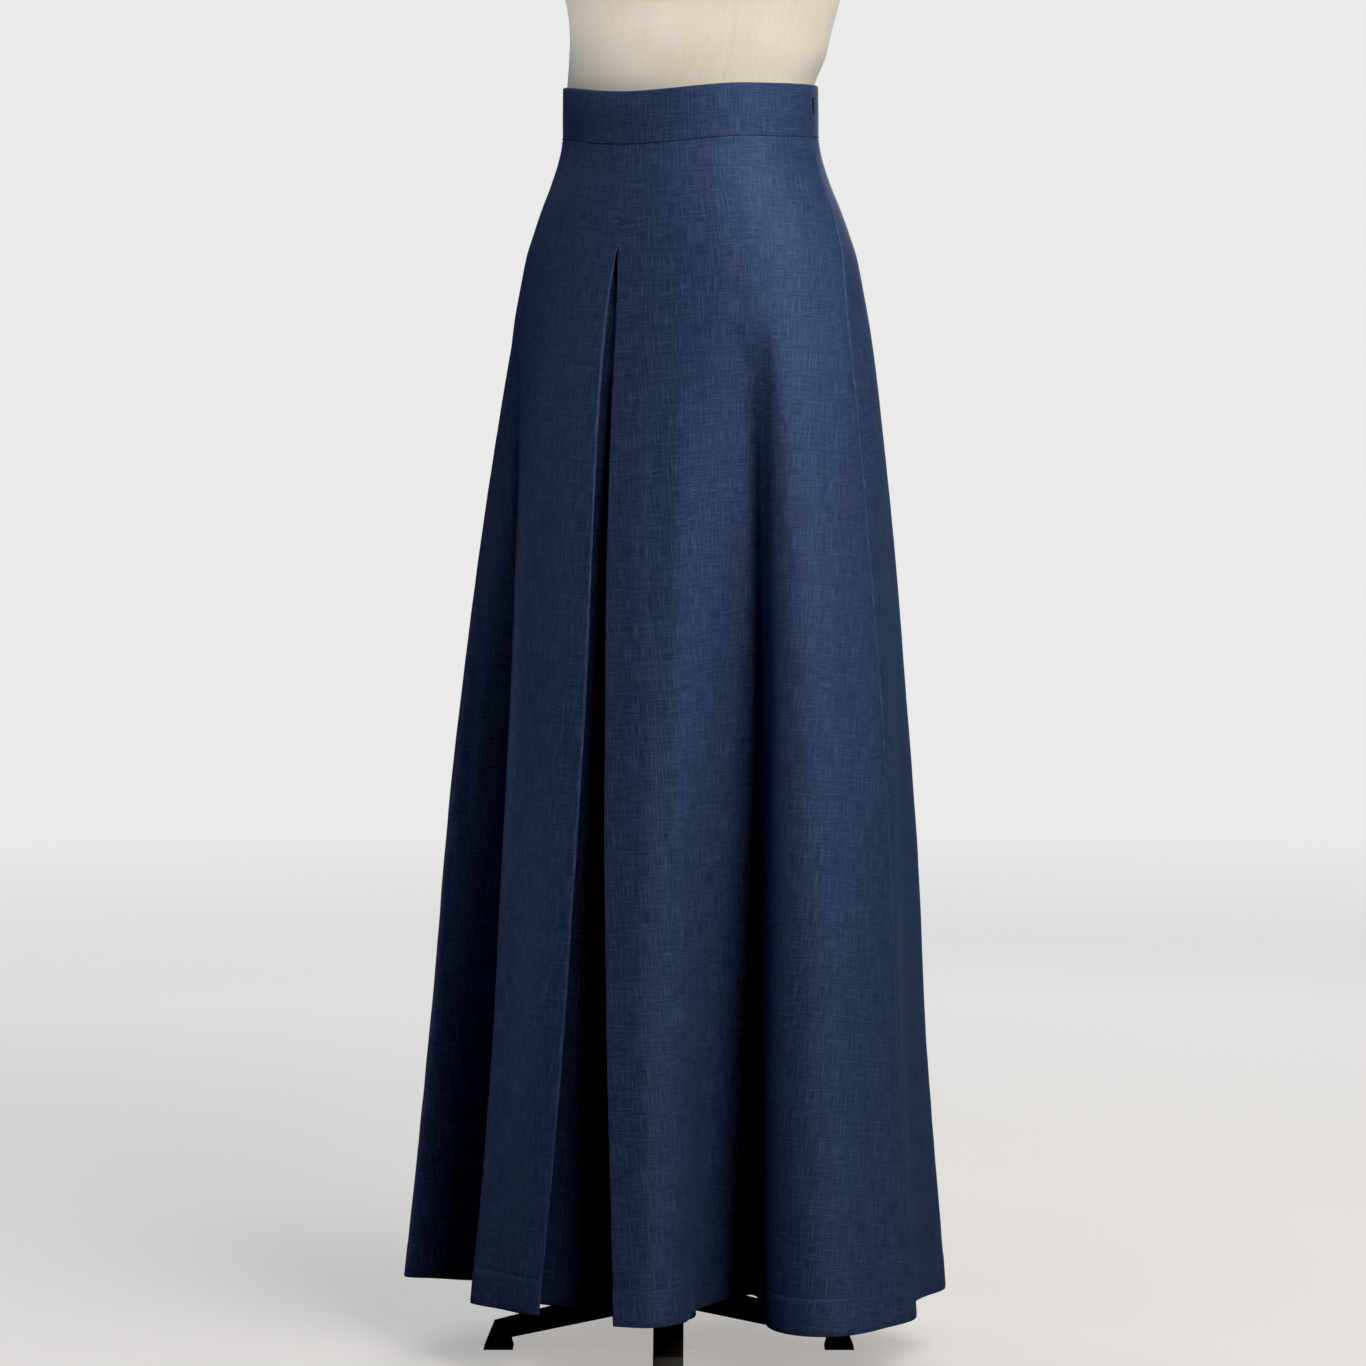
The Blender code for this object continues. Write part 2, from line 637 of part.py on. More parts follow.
def make_leg(name, turn, material):
    """A bar that falls from the hub to a foot, whose end slants outwards."""
    near = HUB_RADIUS + SEAM_GAP
    top = FOOT_TALL + LEG_TALL
    side = [
        (near, top + LEG_RISE),
        (near, top + LEG_RISE - LEG_TALL),
        (LEG_REACH - FOOT_LONG + FOOT_TAPER, FOOT_TALL),
        (LEG_REACH - FOOT_LONG, 0.0),
        (LEG_REACH, 0.0),
        (LEG_REACH - END_SLANT, top - END_SLANT),
    ]
    shape = bmesh.new()
    face = shape.faces.new([shape.verts.new((-LEG_WIDE / 2, -out, height)) for out, height in side])
    pushed = bmesh.ops.extrude_face_region(shape, geom=[face])
    moved = [item for item in pushed["geom"] if isinstance(item, bmesh.types.BMVert)]
    bmesh.ops.translate(shape, vec=(LEG_WIDE, 0.0, 0.0), verts=moved)
    bmesh.ops.recalc_face_normals(shape, faces=shape.faces)
    leg = keep(shape, name, material)
    leg.location = (POLE_X, POLE_Y, 0.0)
    leg.rotation_euler = (0.0, 0.0, math.radians(turn))
    return leg


def main():
    clear_scene()
    linen = finish("navy_linen", NAVY, LINEN_ROUGH, 0.0)
    make_front_left(linen)
    make_front_right(linen)
    make_back(linen)
    make_underlay(linen)
    band = finish("navy_linen_band", NAVY, LINEN_ROUGH, 0.0)
    make_band("waistband_front", SEAM_RIGHT_TURN - 360.0, SEAM_LEFT_TURN, band)
    make_band("waistband_back", SEAM_LEFT_TURN, SEAM_RIGHT_TURN, band)
    enamel = finish("blue_enamel", BLUE_METAL, ENAMEL_ROUGH, ENAMEL_METALLIC)
    make_slider(enamel)
    make_pull_tab(enamel)
    make_torso(finish("cream_cover", CREAM, COVER_ROUGH, 0.0))
    metal = finish("black_metal", BLACK, METAL_ROUGH, METAL_METALLIC)
    make_rod("stand_pole", POLE_RADIUS, HUB_TOP + SEAM_GAP, FORM_INSETS[0].height - SEAM_GAP, POLE_SIDES, POLE_SOFT, metal)
    make_rod("base_hub", HUB_RADIUS, HUB_BOTTOM, HUB_TOP, HUB_SIDES, HUB_SOFT, metal)
    for number in range(LEG_COUNT):
        make_leg(f"base_leg_{number + 1}", LEG_FIRST_TURN + 360.0 * number / LEG_COUNT, metal)


main()
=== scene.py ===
"""A floor-length flared linen skirt with a front box pleat, shown on a limbless dress form.

Metres, +Z up. The front faces -Y and the wearer's left is +X. A turn is an angle in degrees
round the body: 0 at the centre front, 90 at the wearer's left and 180 at the centre back.
"""

import math
from collections import namedtuple

import bmesh
import bpy
from mathutils import Matrix, Vector, noise


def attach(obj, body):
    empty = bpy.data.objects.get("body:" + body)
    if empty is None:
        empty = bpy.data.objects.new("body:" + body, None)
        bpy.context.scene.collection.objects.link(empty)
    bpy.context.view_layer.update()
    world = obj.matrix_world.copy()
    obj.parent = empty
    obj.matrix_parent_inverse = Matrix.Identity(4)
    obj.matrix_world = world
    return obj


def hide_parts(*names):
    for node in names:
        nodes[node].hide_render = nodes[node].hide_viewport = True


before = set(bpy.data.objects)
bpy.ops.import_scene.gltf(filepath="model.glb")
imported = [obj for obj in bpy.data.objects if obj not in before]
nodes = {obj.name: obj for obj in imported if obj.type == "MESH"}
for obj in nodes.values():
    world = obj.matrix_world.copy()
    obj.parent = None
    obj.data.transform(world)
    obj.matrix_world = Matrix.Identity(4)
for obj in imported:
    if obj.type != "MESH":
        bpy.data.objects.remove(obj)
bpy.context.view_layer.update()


# The stand is a cross of four bent steel bars under a short round hub, with a straight pole
# up into the form. All of it is steel with a black satin powder coat, bolted together.
BLACK_COAT = (0.020, 0.018, 0.017, 1.0)
BROWN_COAT = (0.046, 0.036, 0.030, 1.0)
POLE_AT = Vector((-0.015, -0.011, 0.0))
LEG_TURNS = (34.0, 124.0, 214.0, 304.0)
BOLT_RADIUS = 0.0032
BOLT_TALL = 0.0016
BOLT_TAPER = 0.86
BOLT_RIM = 0.42
BOLT_SOCKET = 0.6
BOLT_SIDES = 24
BOLTS_OUT = (0.034, 0.046)
LEG_START = 0.0243
LEG_TOP_AT_HUB = 0.055
LEG_TOP_AT_FOOT = 0.022
LEG_RUN = 0.1297


def node(material, kind, **inputs):
    """Adds one shader node. An input is a value or an earlier socket; a setting is a plain word."""
    made = material.node_tree.nodes.new("ShaderNode" + kind)
    for name, value in inputs.items():
        if hasattr(made, name):
            setattr(made, name, value)
            continue
        socket = made.inputs[int(name[1:]) if name[1:].isdigit() else name.replace("_", " ")]
        if isinstance(value, bpy.types.NodeSocket):
            material.node_tree.links.new(value, socket)
        else:
            socket.default_value = value
    return made


def finish(name, **settings):
    """A Principled material with its fixed settings put on the shader's own sockets."""
    material = bpy.data.materials.new(name)
    material.use_nodes = True
    shader = material.node_tree.nodes["Principled BSDF"]
    for setting, value in settings.items():
        shader.inputs[setting.replace("_", " ")].default_value = value
    return material, shader


def link(material, source, target):
    material.node_tree.links.new(source, target)


def ramp(material, factor, low, high, dark, light):
    """Maps a range of one value to a mix of two colours."""
    share = node(material, "MapRange", Value=factor, From_Min=low, From_Max=high)
    return node(material, "Mix", data_type="RGBA", i0=share.outputs[0], i6=dark, i7=light).outputs[2]


def coated_steel():
    """Fine orange-peel bump, and a browner, duller tone where hands and feet have rubbed it."""
    material, shader = finish("black_coated_steel", Metallic=0.0, IOR=1.5, Coat_Weight=0.15)
    place = node(material, "TexCoord").outputs["Object"]
    wear = node(material, "TexNoise", Vector=place, Scale=38.0, Detail=4.0).outputs[0]
    peel = node(material, "TexNoise", Vector=place, Scale=1400.0, Detail=2.0).outputs[0]
    brushed = node(material, "Mapping", Vector=place, Scale=(30.0, 30.0, 900.0)).outputs[0]
    lines = node(material, "TexNoise", Vector=brushed, Scale=1.0, Detail=3.0).outputs[0]
    link(material, ramp(material, wear, 0.42, 0.66, BLACK_COAT, BROWN_COAT), shader.inputs["Base Color"])
    rough = node(material, "MapRange", Value=lines, To_Min=0.30, To_Max=0.52)
    link(material, rough.outputs[0], shader.inputs["Roughness"])
    bump = node(material, "Bump", Strength=0.25, Distance=0.0002, Height=peel)
    link(material, bump.outputs[0], shader.inputs["Normal"])
    return material


def keep(shape, name, material, body, smooth_under=40.0):
    """Turns a bmesh into a named piece that rides on a body."""
    mesh = bpy.data.meshes.new(name)
    shape.to_mesh(mesh)
    shape.free()
    mesh.materials.append(material)
    mesh.shade_smooth()
    mesh.set_sharp_from_angle(angle=math.radians(smooth_under))
    piece = bpy.data.objects.new(name, mesh)
    bpy.context.scene.collection.objects.link(piece)
    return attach(piece, body)


steel = coated_steel()
for name in ["stand_pole", "base_hub"] + [f"base_leg_{number}" for number in range(1, 5)]:
    nodes[name].data.materials.clear()
    nodes[name].data.materials.append(steel)

bolts = bmesh.new()
leg_fall = LEG_TOP_AT_HUB - LEG_TOP_AT_FOOT
slope = math.atan(leg_fall / LEG_RUN)
for turn in LEG_TURNS:
    out_way = Matrix.Rotation(math.radians(turn), 4, "Z")
    for out in BOLTS_OUT:
        top = LEG_TOP_AT_HUB - leg_fall * (out - LEG_START) / LEG_RUN
        seat = Matrix.Translation(POLE_AT) @ out_way @ Matrix.Translation((0.0, -out, top + BOLT_TALL / 2))
        head = bmesh.ops.create_cone(
            bolts, cap_ends=True, segments=BOLT_SIDES, radius1=BOLT_RADIUS, radius2=BOLT_RADIUS * BOLT_TAPER,
            depth=BOLT_TALL, matrix=seat @ Matrix.Rotation(slope, 4, "X"))
        sides = {face for vertex in head["verts"] for face in vertex.link_faces}
        caps = [face for face in sides if len(face.verts) == BOLT_SIDES]
        crown = max(caps, key=lambda face: face.calc_center_median().z)
        bmesh.ops.inset_individual(bolts, faces=[crown], thickness=BOLT_RADIUS * BOLT_RIM)
        bmesh.ops.translate(bolts, verts=crown.verts, vec=(0.0, 0.0, -BOLT_TALL * BOLT_SOCKET))
stand_bolts = keep(bolts, "stand_bolts", steel, "root")


# The form is a padded torso without arms, legs or head, covered in cream linen jersey. The
# cover is cut in panels, sewn down the centre front and back, the sides and the bust lines.
CREAM = (0.830, 0.742, 0.610, 1.0)
CREAM_SHADE = (0.765, 0.676, 0.540, 1.0)
SEAM_TURNS = (2.5, 42.0, 92.0, 140.0, 180.0, 220.0, 268.0, 322.0)
SEAM_DEEP = 0.0007
SEAM_HALF = 0.0016
FORM_TOP = 1.528
BAND_WALL = 0.0025
FORM_CLEAR = 0.0004
FORM_SIDES = 240
FORM_RING_GAP = 0.006
NECK_STEPS = 14
NECK_LAST_ANGLE = 88.0
COVER_RADIUS = 0.115
Ring = namedtuple("Ring", "height half_width half_depth setback")
SECTIONS = [
    (0.0580, 0.2505, 0.2040),
    (0.1660, 0.2402, 0.1930),
    (0.2990, 0.2291, 0.1810),
    (0.4310, 0.2208, 0.1690),
    (0.5630, 0.2101, 0.1555),
    (0.6940, 0.1968, 0.1430),
    (0.8250, 0.1801, 0.1280),
    (0.8900, 0.1700, 0.1195),
    (0.9550, 0.1566, 0.1115),
    (0.9760, 0.1490, 0.1087),
    (0.9980, 0.1395, 0.1058),
    (1.0200, 0.1288, 0.1022),
    (1.0400, 0.1212, 0.0983),
    (1.0560, 0.1179, 0.0954),
    (1.0800, 0.1173, 0.0949),
    (1.1100, 0.1168, 0.0945),
]
FORM_INSETS = [
    (0.8000, 0.0530), (0.8040, 0.0435), (0.8140, 0.0360), (0.8350, 0.0280), (0.8600, 0.0195),
    (0.8800, 0.0132), (0.9050, 0.0085), (0.9400, 0.0070), (1.0000, 0.0070), (1.0400, 0.0070),
    (1.0560, 0.0068), (1.0720, BAND_WALL + FORM_CLEAR), (1.0880, BAND_WALL + FORM_CLEAR),
]
TORSO = [
    (1.1040, 0.1134, 0.0911, 0.000), (1.1280, 0.1179, 0.0941, 0.010), (1.1535, 0.1206, 0.0975, 0.016),
    (1.1795, 0.1258, 0.1027, 0.019), (1.2200, 0.1365, 0.1130, 0.015), (1.2700, 0.1465, 0.1190, 0.009),
    (1.3200, 0.1540, 0.1110, 0.013), (1.3600, 0.1600, 0.0980, 0.018), (1.3900, 0.1640, 0.0850, 0.021),
    (1.4120, 0.1580, 0.0740, 0.021), (1.4300, 0.1340, 0.0660, 0.020), (1.4450, 0.0980, 0.0600, 0.017),
    (1.4600, 0.0710, 0.0560, 0.014), (1.4850, 0.0590, 0.0545, 0.011), (1.5200, 0.0560, 0.0535, 0.009),
]


def through(knots, values, at):
    """The smooth value at one place, through the values given at rising knots."""
    last = len(knots) - 1
    first = 0
    while first < last - 1 and knots[first + 1] <= at:
        first += 1

    def slope(index):
        low = max(index - 1, 0)
        high = min(index + 1, last)
        return (values[high] - values[low]) / (knots[high] - knots[low])

    span = knots[first + 1] - knots[first]
    part = (at - knots[first]) / span
    rise = part * part * (3 - 2 * part)
    value = values[first] * (1 - rise) + values[first + 1] * rise
    value += slope(first) * (span * part * (1 - part) ** 2)
    return value - slope(first + 1) * (span * part * part * (1 - part))


def on_oval(half_width, half_depth, turn):
    angle = math.radians(turn)
    return Vector((half_width * math.sin(angle), -half_depth * math.cos(angle), 0.0))


def cone(height, turn, inset=0.0):
    """A point of the skirt's plain cone at a height, moved in from its outer face."""
    knots = [section[0] for section in SECTIONS]
    half_width = through(knots, [section[1] for section in SECTIONS], height)
    half_depth = through(knots, [section[2] for section in SECTIONS], height)
    point = on_oval(half_width - inset, half_depth - inset, turn)
    point.z = height
    return point


def form_rings():
    """The form's ovals from its flat base to the rounded top of the neck."""
    rings = [Ring(height, cone(height, 90.0, inset).x, -cone(height, 0.0, inset).y, 0.0)
             for height, inset in FORM_INSETS]
    rings += [Ring(*row) for row in TORSO]
    knots = [ring.height for ring in rings]
    fine = []
    for low, high in zip(rings, rings[1:]):
        steps = max(round((high.height - low.height) / FORM_RING_GAP), 1)
        for step in range(steps):
            height = low.height + (high.height - low.height) * step / steps
            sizes = [through(knots, [ring[part] for ring in rings], height) for part in (1, 2, 3)]
            fine.append(Ring(height, *sizes))
    neck = rings[-1]
    for step in range(NECK_STEPS):
        angle = math.radians(NECK_LAST_ANGLE * step / (NECK_STEPS - 1))
        height = neck.height + (FORM_TOP - neck.height) * math.sin(angle)
        narrow = math.cos(angle)
        fine.append(Ring(height, neck.half_width * narrow, neck.half_depth * narrow, neck.setback))
    return fine


def seam_drop(turn):
    """How far a seam of the cover draws its surface in at a turn."""
    away = min(abs((turn - seam + 180.0) % 360.0 - 180.0) for seam in SEAM_TURNS)
    return SEAM_DEEP * math.exp(-(math.radians(away) * COVER_RADIUS / SEAM_HALF) ** 2)


def cream_jersey():
    """A fine knit: close ribs, faint cross rows and soft clouds of wear."""
    material, shader = finish("cream_jersey", Roughness=0.78, Sheen_Weight=0.12, Sheen_Roughness=0.5, IOR=1.4)
    place = node(material, "UVMap", uv_map="cloth").outputs[0]
    clouds = node(material, "TexNoise", Vector=place, Scale=22.0, Detail=4.0).outputs[0]
    ribs = node(material, "TexWave", bands_direction="X", Vector=place, Scale=210.0, Distortion=1.2,
                Detail=1.0).outputs[1]
    rows = node(material, "TexWave", bands_direction="Y", Vector=place, Scale=170.0, Distortion=1.6,
                Detail=1.0).outputs[1]
    flecks = node(material, "Mapping", Vector=place, Scale=(700.0, 60.0, 1.0)).outputs[0]
    flecks = node(material, "TexNoise", Vector=flecks, Scale=1.0, Detail=2.0).outputs[0]
    tone = node(material, "Math", operation="ADD", i0=clouds, i1=flecks).outputs[0]
    link(material, ramp(material, tone, 0.75, 1.25, CREAM_SHADE, CREAM), shader.inputs["Base Color"])
    knit = node(material, "Math", operation="ADD", i0=ribs, i1=rows).outputs[0]
    bump = node(material, "Bump", Strength=0.22, Distance=0.00025, Height=knit)
    link(material, bump.outputs[0], shader.inputs["Normal"])
    return material


shape = bmesh.new()
unrolled = shape.loops.layers.uv.new("cloth")
loops = []
for ring in form_rings():
    verts = []
    for side in range(FORM_SIDES):
        turn = 360.0 * side / FORM_SIDES
        drop = seam_drop(turn)
        point = on_oval(ring.half_width - drop, ring.half_depth - drop, turn)
        verts.append(shape.verts.new(point + Vector((0.0, ring.setback, ring.height))))
    edges = [shape.edges.new((verts[side - 1], verts[side])) for side in range(FORM_SIDES)]
    loops.append((verts, edges))
for low, high in zip(loops, loops[1:]):
    bmesh.ops.bridge_loops(shape, edges=low[1] + high[1])
shape.faces.new(loops[0][0])
shape.faces.new(loops[-1][0])
bmesh.ops.recalc_face_normals(shape, faces=shape.faces)
for face in shape.faces:
    middle = face.calc_center_median()
    for loop in face.loops:
        angle = math.atan2(loop.vert.co.x, -loop.vert.co.y)
        near = math.atan2(middle.x, -middle.y)
        angle += math.tau * round((near - angle) / math.tau)
        loop[unrolled].uv = (angle * COVER_RADIUS, loop.vert.co.z)
form_cover = keep(shape, "form_cover", cream_jersey(), "root")
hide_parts("form_torso")


# The skirt's cloth is one navy linen, a plain weave with slubs in both directions. The front
# left panel runs from the side seam to the pleat's edge, folds under there and ends deep inside.
WAIST_TOP = 1.104
BAND_TALL = 0.045
BAND_DIP = 0.0065
BAND_DIP_REACH = 55.0
SEAM_GAP = 0.0003
HEM_HEIGHT = 0.058
FOLDS_START = 0.905
FOLD_EASE = 0.05
EARLY_GROWTH = 0.5
HIP_HEIGHT = 0.89
PLEAT_MOUTH = 0.9665
PLEAT_EDGE_RADIUS = 0.0018
PLEAT_SEAM_RADIUS = 0.0007
PLEAT_DEEP_TURN = 25.0
MOUTH_OPEN_LEFT = 0.0022
MOUTH_OPEN_RIGHT = 0.0088
MOUTH_WIDEST = 0.12
INNER_GROWTH = 1.2
INNER_LEFT_HEM = (0.0680, -0.1480)
INNER_RIGHT_HEM = (-0.0520, -0.1600)
CLOTH_THICK = 0.0007
FRONT_COLUMNS = 10
BACK_COLUMNS = 8
CLOTH_RINGS = 190
EDGE_STEPS = 7
RETURN_STEPS = 14
RING_CROWDING = 1.15
NEAR_BAND = (0.0034, 0.0022, 0.0014, 0.0009, 0.0004, 0.0)
NEAR_HEM = (0.0, 0.0005, 0.0012, 0.0022)
NEAR_HEM_LINE = (-0.0022, -0.0009, 0.0, 0.0009, 0.0022)
HEM_LINE = 0.0302
HEM_STEP = 0.00025
HEM_DIMPLE = 0.0002
HEM_DIMPLE_REACH = 0.0014
HEM_ROUND = 0.0003
ZIP_END = 0.885
LIP_PROUD = 0.0006
LIP_AWAY = 0.0021
LIP_REACH = 0.0010
NEAR_SEAM = (0.0, 0.04, 0.1, 0.2, 0.35, 0.6)
TUCK_REACH = 0.0016
TUCK_DEEP = 0.0009
TUCK_UP = 0.0012
SEAM_TURN_IN = 0.0011
SEAM_TURN_REACH = 0.0011
Fold = namedtuple("Fold", "waist hip hem_turn hem_out lift growth")
FOLDS = [
    Fold(0.0, 0.0, 16.3, 0.2140, 0.0, 1.5),
    Fold(9.5, 9.5, 24.6, 0.2139, 0.0, 1.3),
    Fold(16.0, 16.0, 29.6, 0.2010, 0.0, 1.2),
    Fold(23.0, 23.0, 33.0, 0.1800, 0.0, 1.1),
    Fold(36.0, 34.0, 38.0, 0.1430, 0.004, 0.8),
    Fold(47.0, 43.0, 61.0, 0.1160, 0.008, 0.7),
    Fold(53.0, 48.5, 55.5, 0.1660, 0.004, 0.64),
    Fold(59.0, 52.5, 51.4, 0.2210, 0.0, 0.85),
    Fold(66.0, 57.5, 54.6, 0.2610, 0.0, 0.9),
    Fold(76.0, 66.0, 61.8, 0.2769, 0.0, 0.95),
    Fold(88.0, 77.0, 71.9, 0.2672, 0.0, 0.9),
    Fold(100.0, 85.5, 83.0, 0.2540, 0.0, 0.6),
    Fold(113.0, 104.0, 94.0, 0.2230, 0.004, 1.0),
    Fold(128.0, 123.0, 119.0, 0.2250, 0.0, 1.0),
    Fold(142.0, 140.0, 139.0, 0.1880, 0.006, 1.2),
    Fold(158.0, 158.0, 157.0, 0.2230, 0.0, 1.1),
    Fold(174.0, 174.0, 175.0, 0.1720, 0.006, 1.3),
    Fold(191.0, 191.0, 194.0, 0.2120, 0.0, 1.1),
    Fold(206.0, 206.0, 211.0, 0.1800, 0.006, 1.2),
    Fold(221.0, 221.0, 230.0, 0.2420, 0.0, 1.1),
    Fold(233.0, 236.0, 245.0, 0.2020, 0.006, 1.2),
    Fold(244.0, 250.0, 263.0, 0.2570, 0.0, 1.1),
    Fold(252.0, 262.0, 275.0, 0.2250, 0.004, 1.0),
    Fold(262.0, 269.0, 281.0, 0.2180, 0.006, 1.0),
    Fold(282.0, 283.0, 296.7, 0.2550, 0.0, 0.64),
    Fold(291.0, 293.5, 300.0, 0.2230, 0.0, 0.66),
    Fold(297.0, 301.0, 302.0, 0.1820, 0.0, 0.4),
    Fold(304.0, 307.0, 309.0, 0.1300, 0.006, 0.3),
    Fold(309.0, 313.0, 324.0, 0.1690, 0.0, 0.3),
    Fold(314.0, 317.0, 330.4, 0.2120, 0.0, 0.31),
    Fold(331.0, 331.0, 342.9, 0.2054, 0.0, 1.0),
    Fold(346.0, 346.0, 350.6, 0.2060, 0.0, 1.2),
    Fold(360.0, 360.0, 354.8, 0.2040, 0.0, 2.3),
]
LEFT_SEAM = 11
RIGHT_SEAM = 22
LAST_FOLD = len(FOLDS) - 1
NAVY = (0.0420, 0.0740, 0.1640, 1.0)
NAVY_DARK = (0.0310, 0.0580, 0.1350, 1.0)
NAVY_PALE = (0.0700, 0.1130, 0.2250, 1.0)
NAVY_DEEP = (0.0210, 0.0400, 0.0980, 1.0)
GLOSS_TINT = (0.42, 0.66, 1.0, 1.0)
SHEEN_TINT = (0.30, 0.56, 1.0, 1.0)
THREAD_PITCH = 0.00085
CLOTH_SMOOTH_UNDER = 60.0
EDGE_EASE = 0.05


def ease(share):
    """0 to 1 with level ends."""
    share = min(max(share, 0.0), 1.0)
    return share * share * (3 - 2 * share)


def band_top(turn):
    """The band's top edge, which dips towards the centre front."""
    from_front = min(turn % 360.0, 360.0 - turn % 360.0)
    return WAIST_TOP - BAND_DIP * ease(1 - from_front / BAND_DIP_REACH)


def seam_height(turn):
    return band_top(turn) - BAND_TALL - SEAM_GAP


def grown(start, height, growth):
    """How much of a fold's shift at the hem a height has, from 0 at its start."""
    share = max((start - height) / (start - HEM_HEIGHT), 0.0)
    eased = share * share / (share + FOLD_EASE) * (1 + FOLD_EASE)
    return 1 - (1 - eased) ** (1 / growth) if growth < EARLY_GROWTH else eased**growth


def mouth_open(height):
    share = max((PLEAT_MOUTH - height) / (PLEAT_MOUTH - HEM_HEIGHT), 0.0) / MOUTH_WIDEST
    return share * math.exp(1 - share)


def fold_point(index, share):
    """A point on one fold line; share is 0 at the hem and 1 at the seam under the band."""
    fold = FOLDS[index]
    hem = HEM_HEIGHT + fold.lift
    height = hem + (seam_height(fold.waist) - hem) * share
    waist_share = ease((height - HIP_HEIGHT) / (WAIST_TOP - BAND_TALL - HIP_HEIGHT))
    turn = fold.hip + (fold.waist - fold.hip) * waist_share
    start = PLEAT_MOUTH if index in (0, LAST_FOLD) else FOLDS_START
    shift = on_oval(fold.hem_out, fold.hem_out, fold.hem_turn) - cone(hem, fold.hip)
    shift.z = 0.0
    point = cone(height, turn) + shift * grown(start, height, fold.growth)
    if index == 0:
        point.x += MOUTH_OPEN_LEFT * mouth_open(height)
    if index == LAST_FOLD:
        point.x -= MOUTH_OPEN_RIGHT * mouth_open(height)
    return point


def cloth_row(share, places):
    lines = [fold_point(index, share) for index in range(len(FOLDS))]
    knots = list(range(len(FOLDS)))
    return [through(knots, lines, place) for place in places]


def inner_shift(side, part, height, depth):
    """How far the open pleat has moved a point of its hidden layers at one height."""
    turn = side * PLEAT_DEEP_TURN * part
    edge = FOLDS[0] if side > 0 else FOLDS[LAST_FOLD]
    outer = on_oval(edge.hem_out, edge.hem_out, edge.hem_turn)
    inner = Vector((*(INNER_LEFT_HEM if side > 0 else INNER_RIGHT_HEM), 0.0))
    shift = outer.lerp(inner, part) - cone(HEM_HEIGHT, turn, depth)
    shift.z = 0.0
    return shift * grown(PLEAT_MOUTH, height, INNER_GROWTH)


def inner_point(side, part, share, depth):
    turn = side * PLEAT_DEEP_TURN * part
    height = HEM_HEIGHT + (seam_height(turn) - HEM_HEIGHT) * share
    return cone(height, turn, depth) + inner_shift(side, part, height, depth)


def edge_radius(height):
    """The pleat's edge is pressed and sewn flat above its mouth and rounder below."""
    rounder = ease((PLEAT_MOUTH - height) / EDGE_EASE)
    return PLEAT_SEAM_RADIUS + (PLEAT_EDGE_RADIUS - PLEAT_SEAM_RADIUS) * rounder


def pleat_row(side, share, beyond):
    """The rounded edge of the pleat and the return behind it, from the inner fold outwards."""
    lines = [fold_point(index, share) for index in (0, LAST_FOLD)]
    edge = lines[0] if side > 0 else lines[1]
    radius = edge_radius(edge.z)
    along = beyond - edge
    along.z = 0.0
    along.normalize()
    inward = Vector((-along.y, along.x, 0.0)) * side
    centre = edge + along * (radius + SEAM_GAP / 2) + inward * radius
    depth = PLEAT_EDGE_RADIUS * 2
    inner = inner_point(side, 1.0, share, depth)
    middle = inner_point(side, 0.5, share, depth)
    away = inner - centre
    sweep = math.atan2(away.dot(inward), -away.dot(along))
    rounded = []
    for step in range(EDGE_STEPS + 1):
        angle = sweep * step / EDGE_STEPS
        rounded.append(centre - (inward * math.cos(angle) + along * math.sin(angle)) * radius)
    steps = [step / RETURN_STEPS for step in range(1, RETURN_STEPS + 1)]
    back = [through([0.0, 0.5, 1.0], [rounded[-1], middle, inner], step) for step in steps]
    return list(reversed(back)) + list(reversed(rounded))


def levels():
    """The rings' shares of the way up the cloth, with close ones at the hem and under the band."""
    even = [1 - (ring / CLOTH_RINGS) ** RING_CROWDING for ring in range(CLOTH_RINGS)]
    close = [1 - away for away in NEAR_BAND] + list(NEAR_HEM) + [HEM_LINE + away for away in NEAR_HEM_LINE]
    return sorted(even + close)


def seam_places(first, last, columns):
    """Places along the fold rows with some close ones beside the seam at an end."""
    even = [first + step / columns for step in range(1, round((last - first) * columns))]
    close = [away / columns for away in NEAR_SEAM]
    starts = [first + away for away in close] if first in (LEFT_SEAM, RIGHT_SEAM) else [first]
    ends = [last - away for away in reversed(close)] if last in (LEFT_SEAM, RIGHT_SEAM) else [last]
    return starts + even + ends


# The cloth's slack waves and crumpling: how many to a metre along X, Y and Z, how high they are
# at the waist, and how much higher at the hem. Both reach their full height this far down.
SLACK_PACE = Vector((26.0, 26.0, 5.0))
SLACK_HIGH = 0.0003
SLACK_MORE = 0.0011
CRUMPLE_PACE = Vector((75.0, 75.0, 38.0))
CRUMPLE_HIGH = 0.00012
CRUMPLE_MORE = 0.00022
WAVES_FULL = 0.9

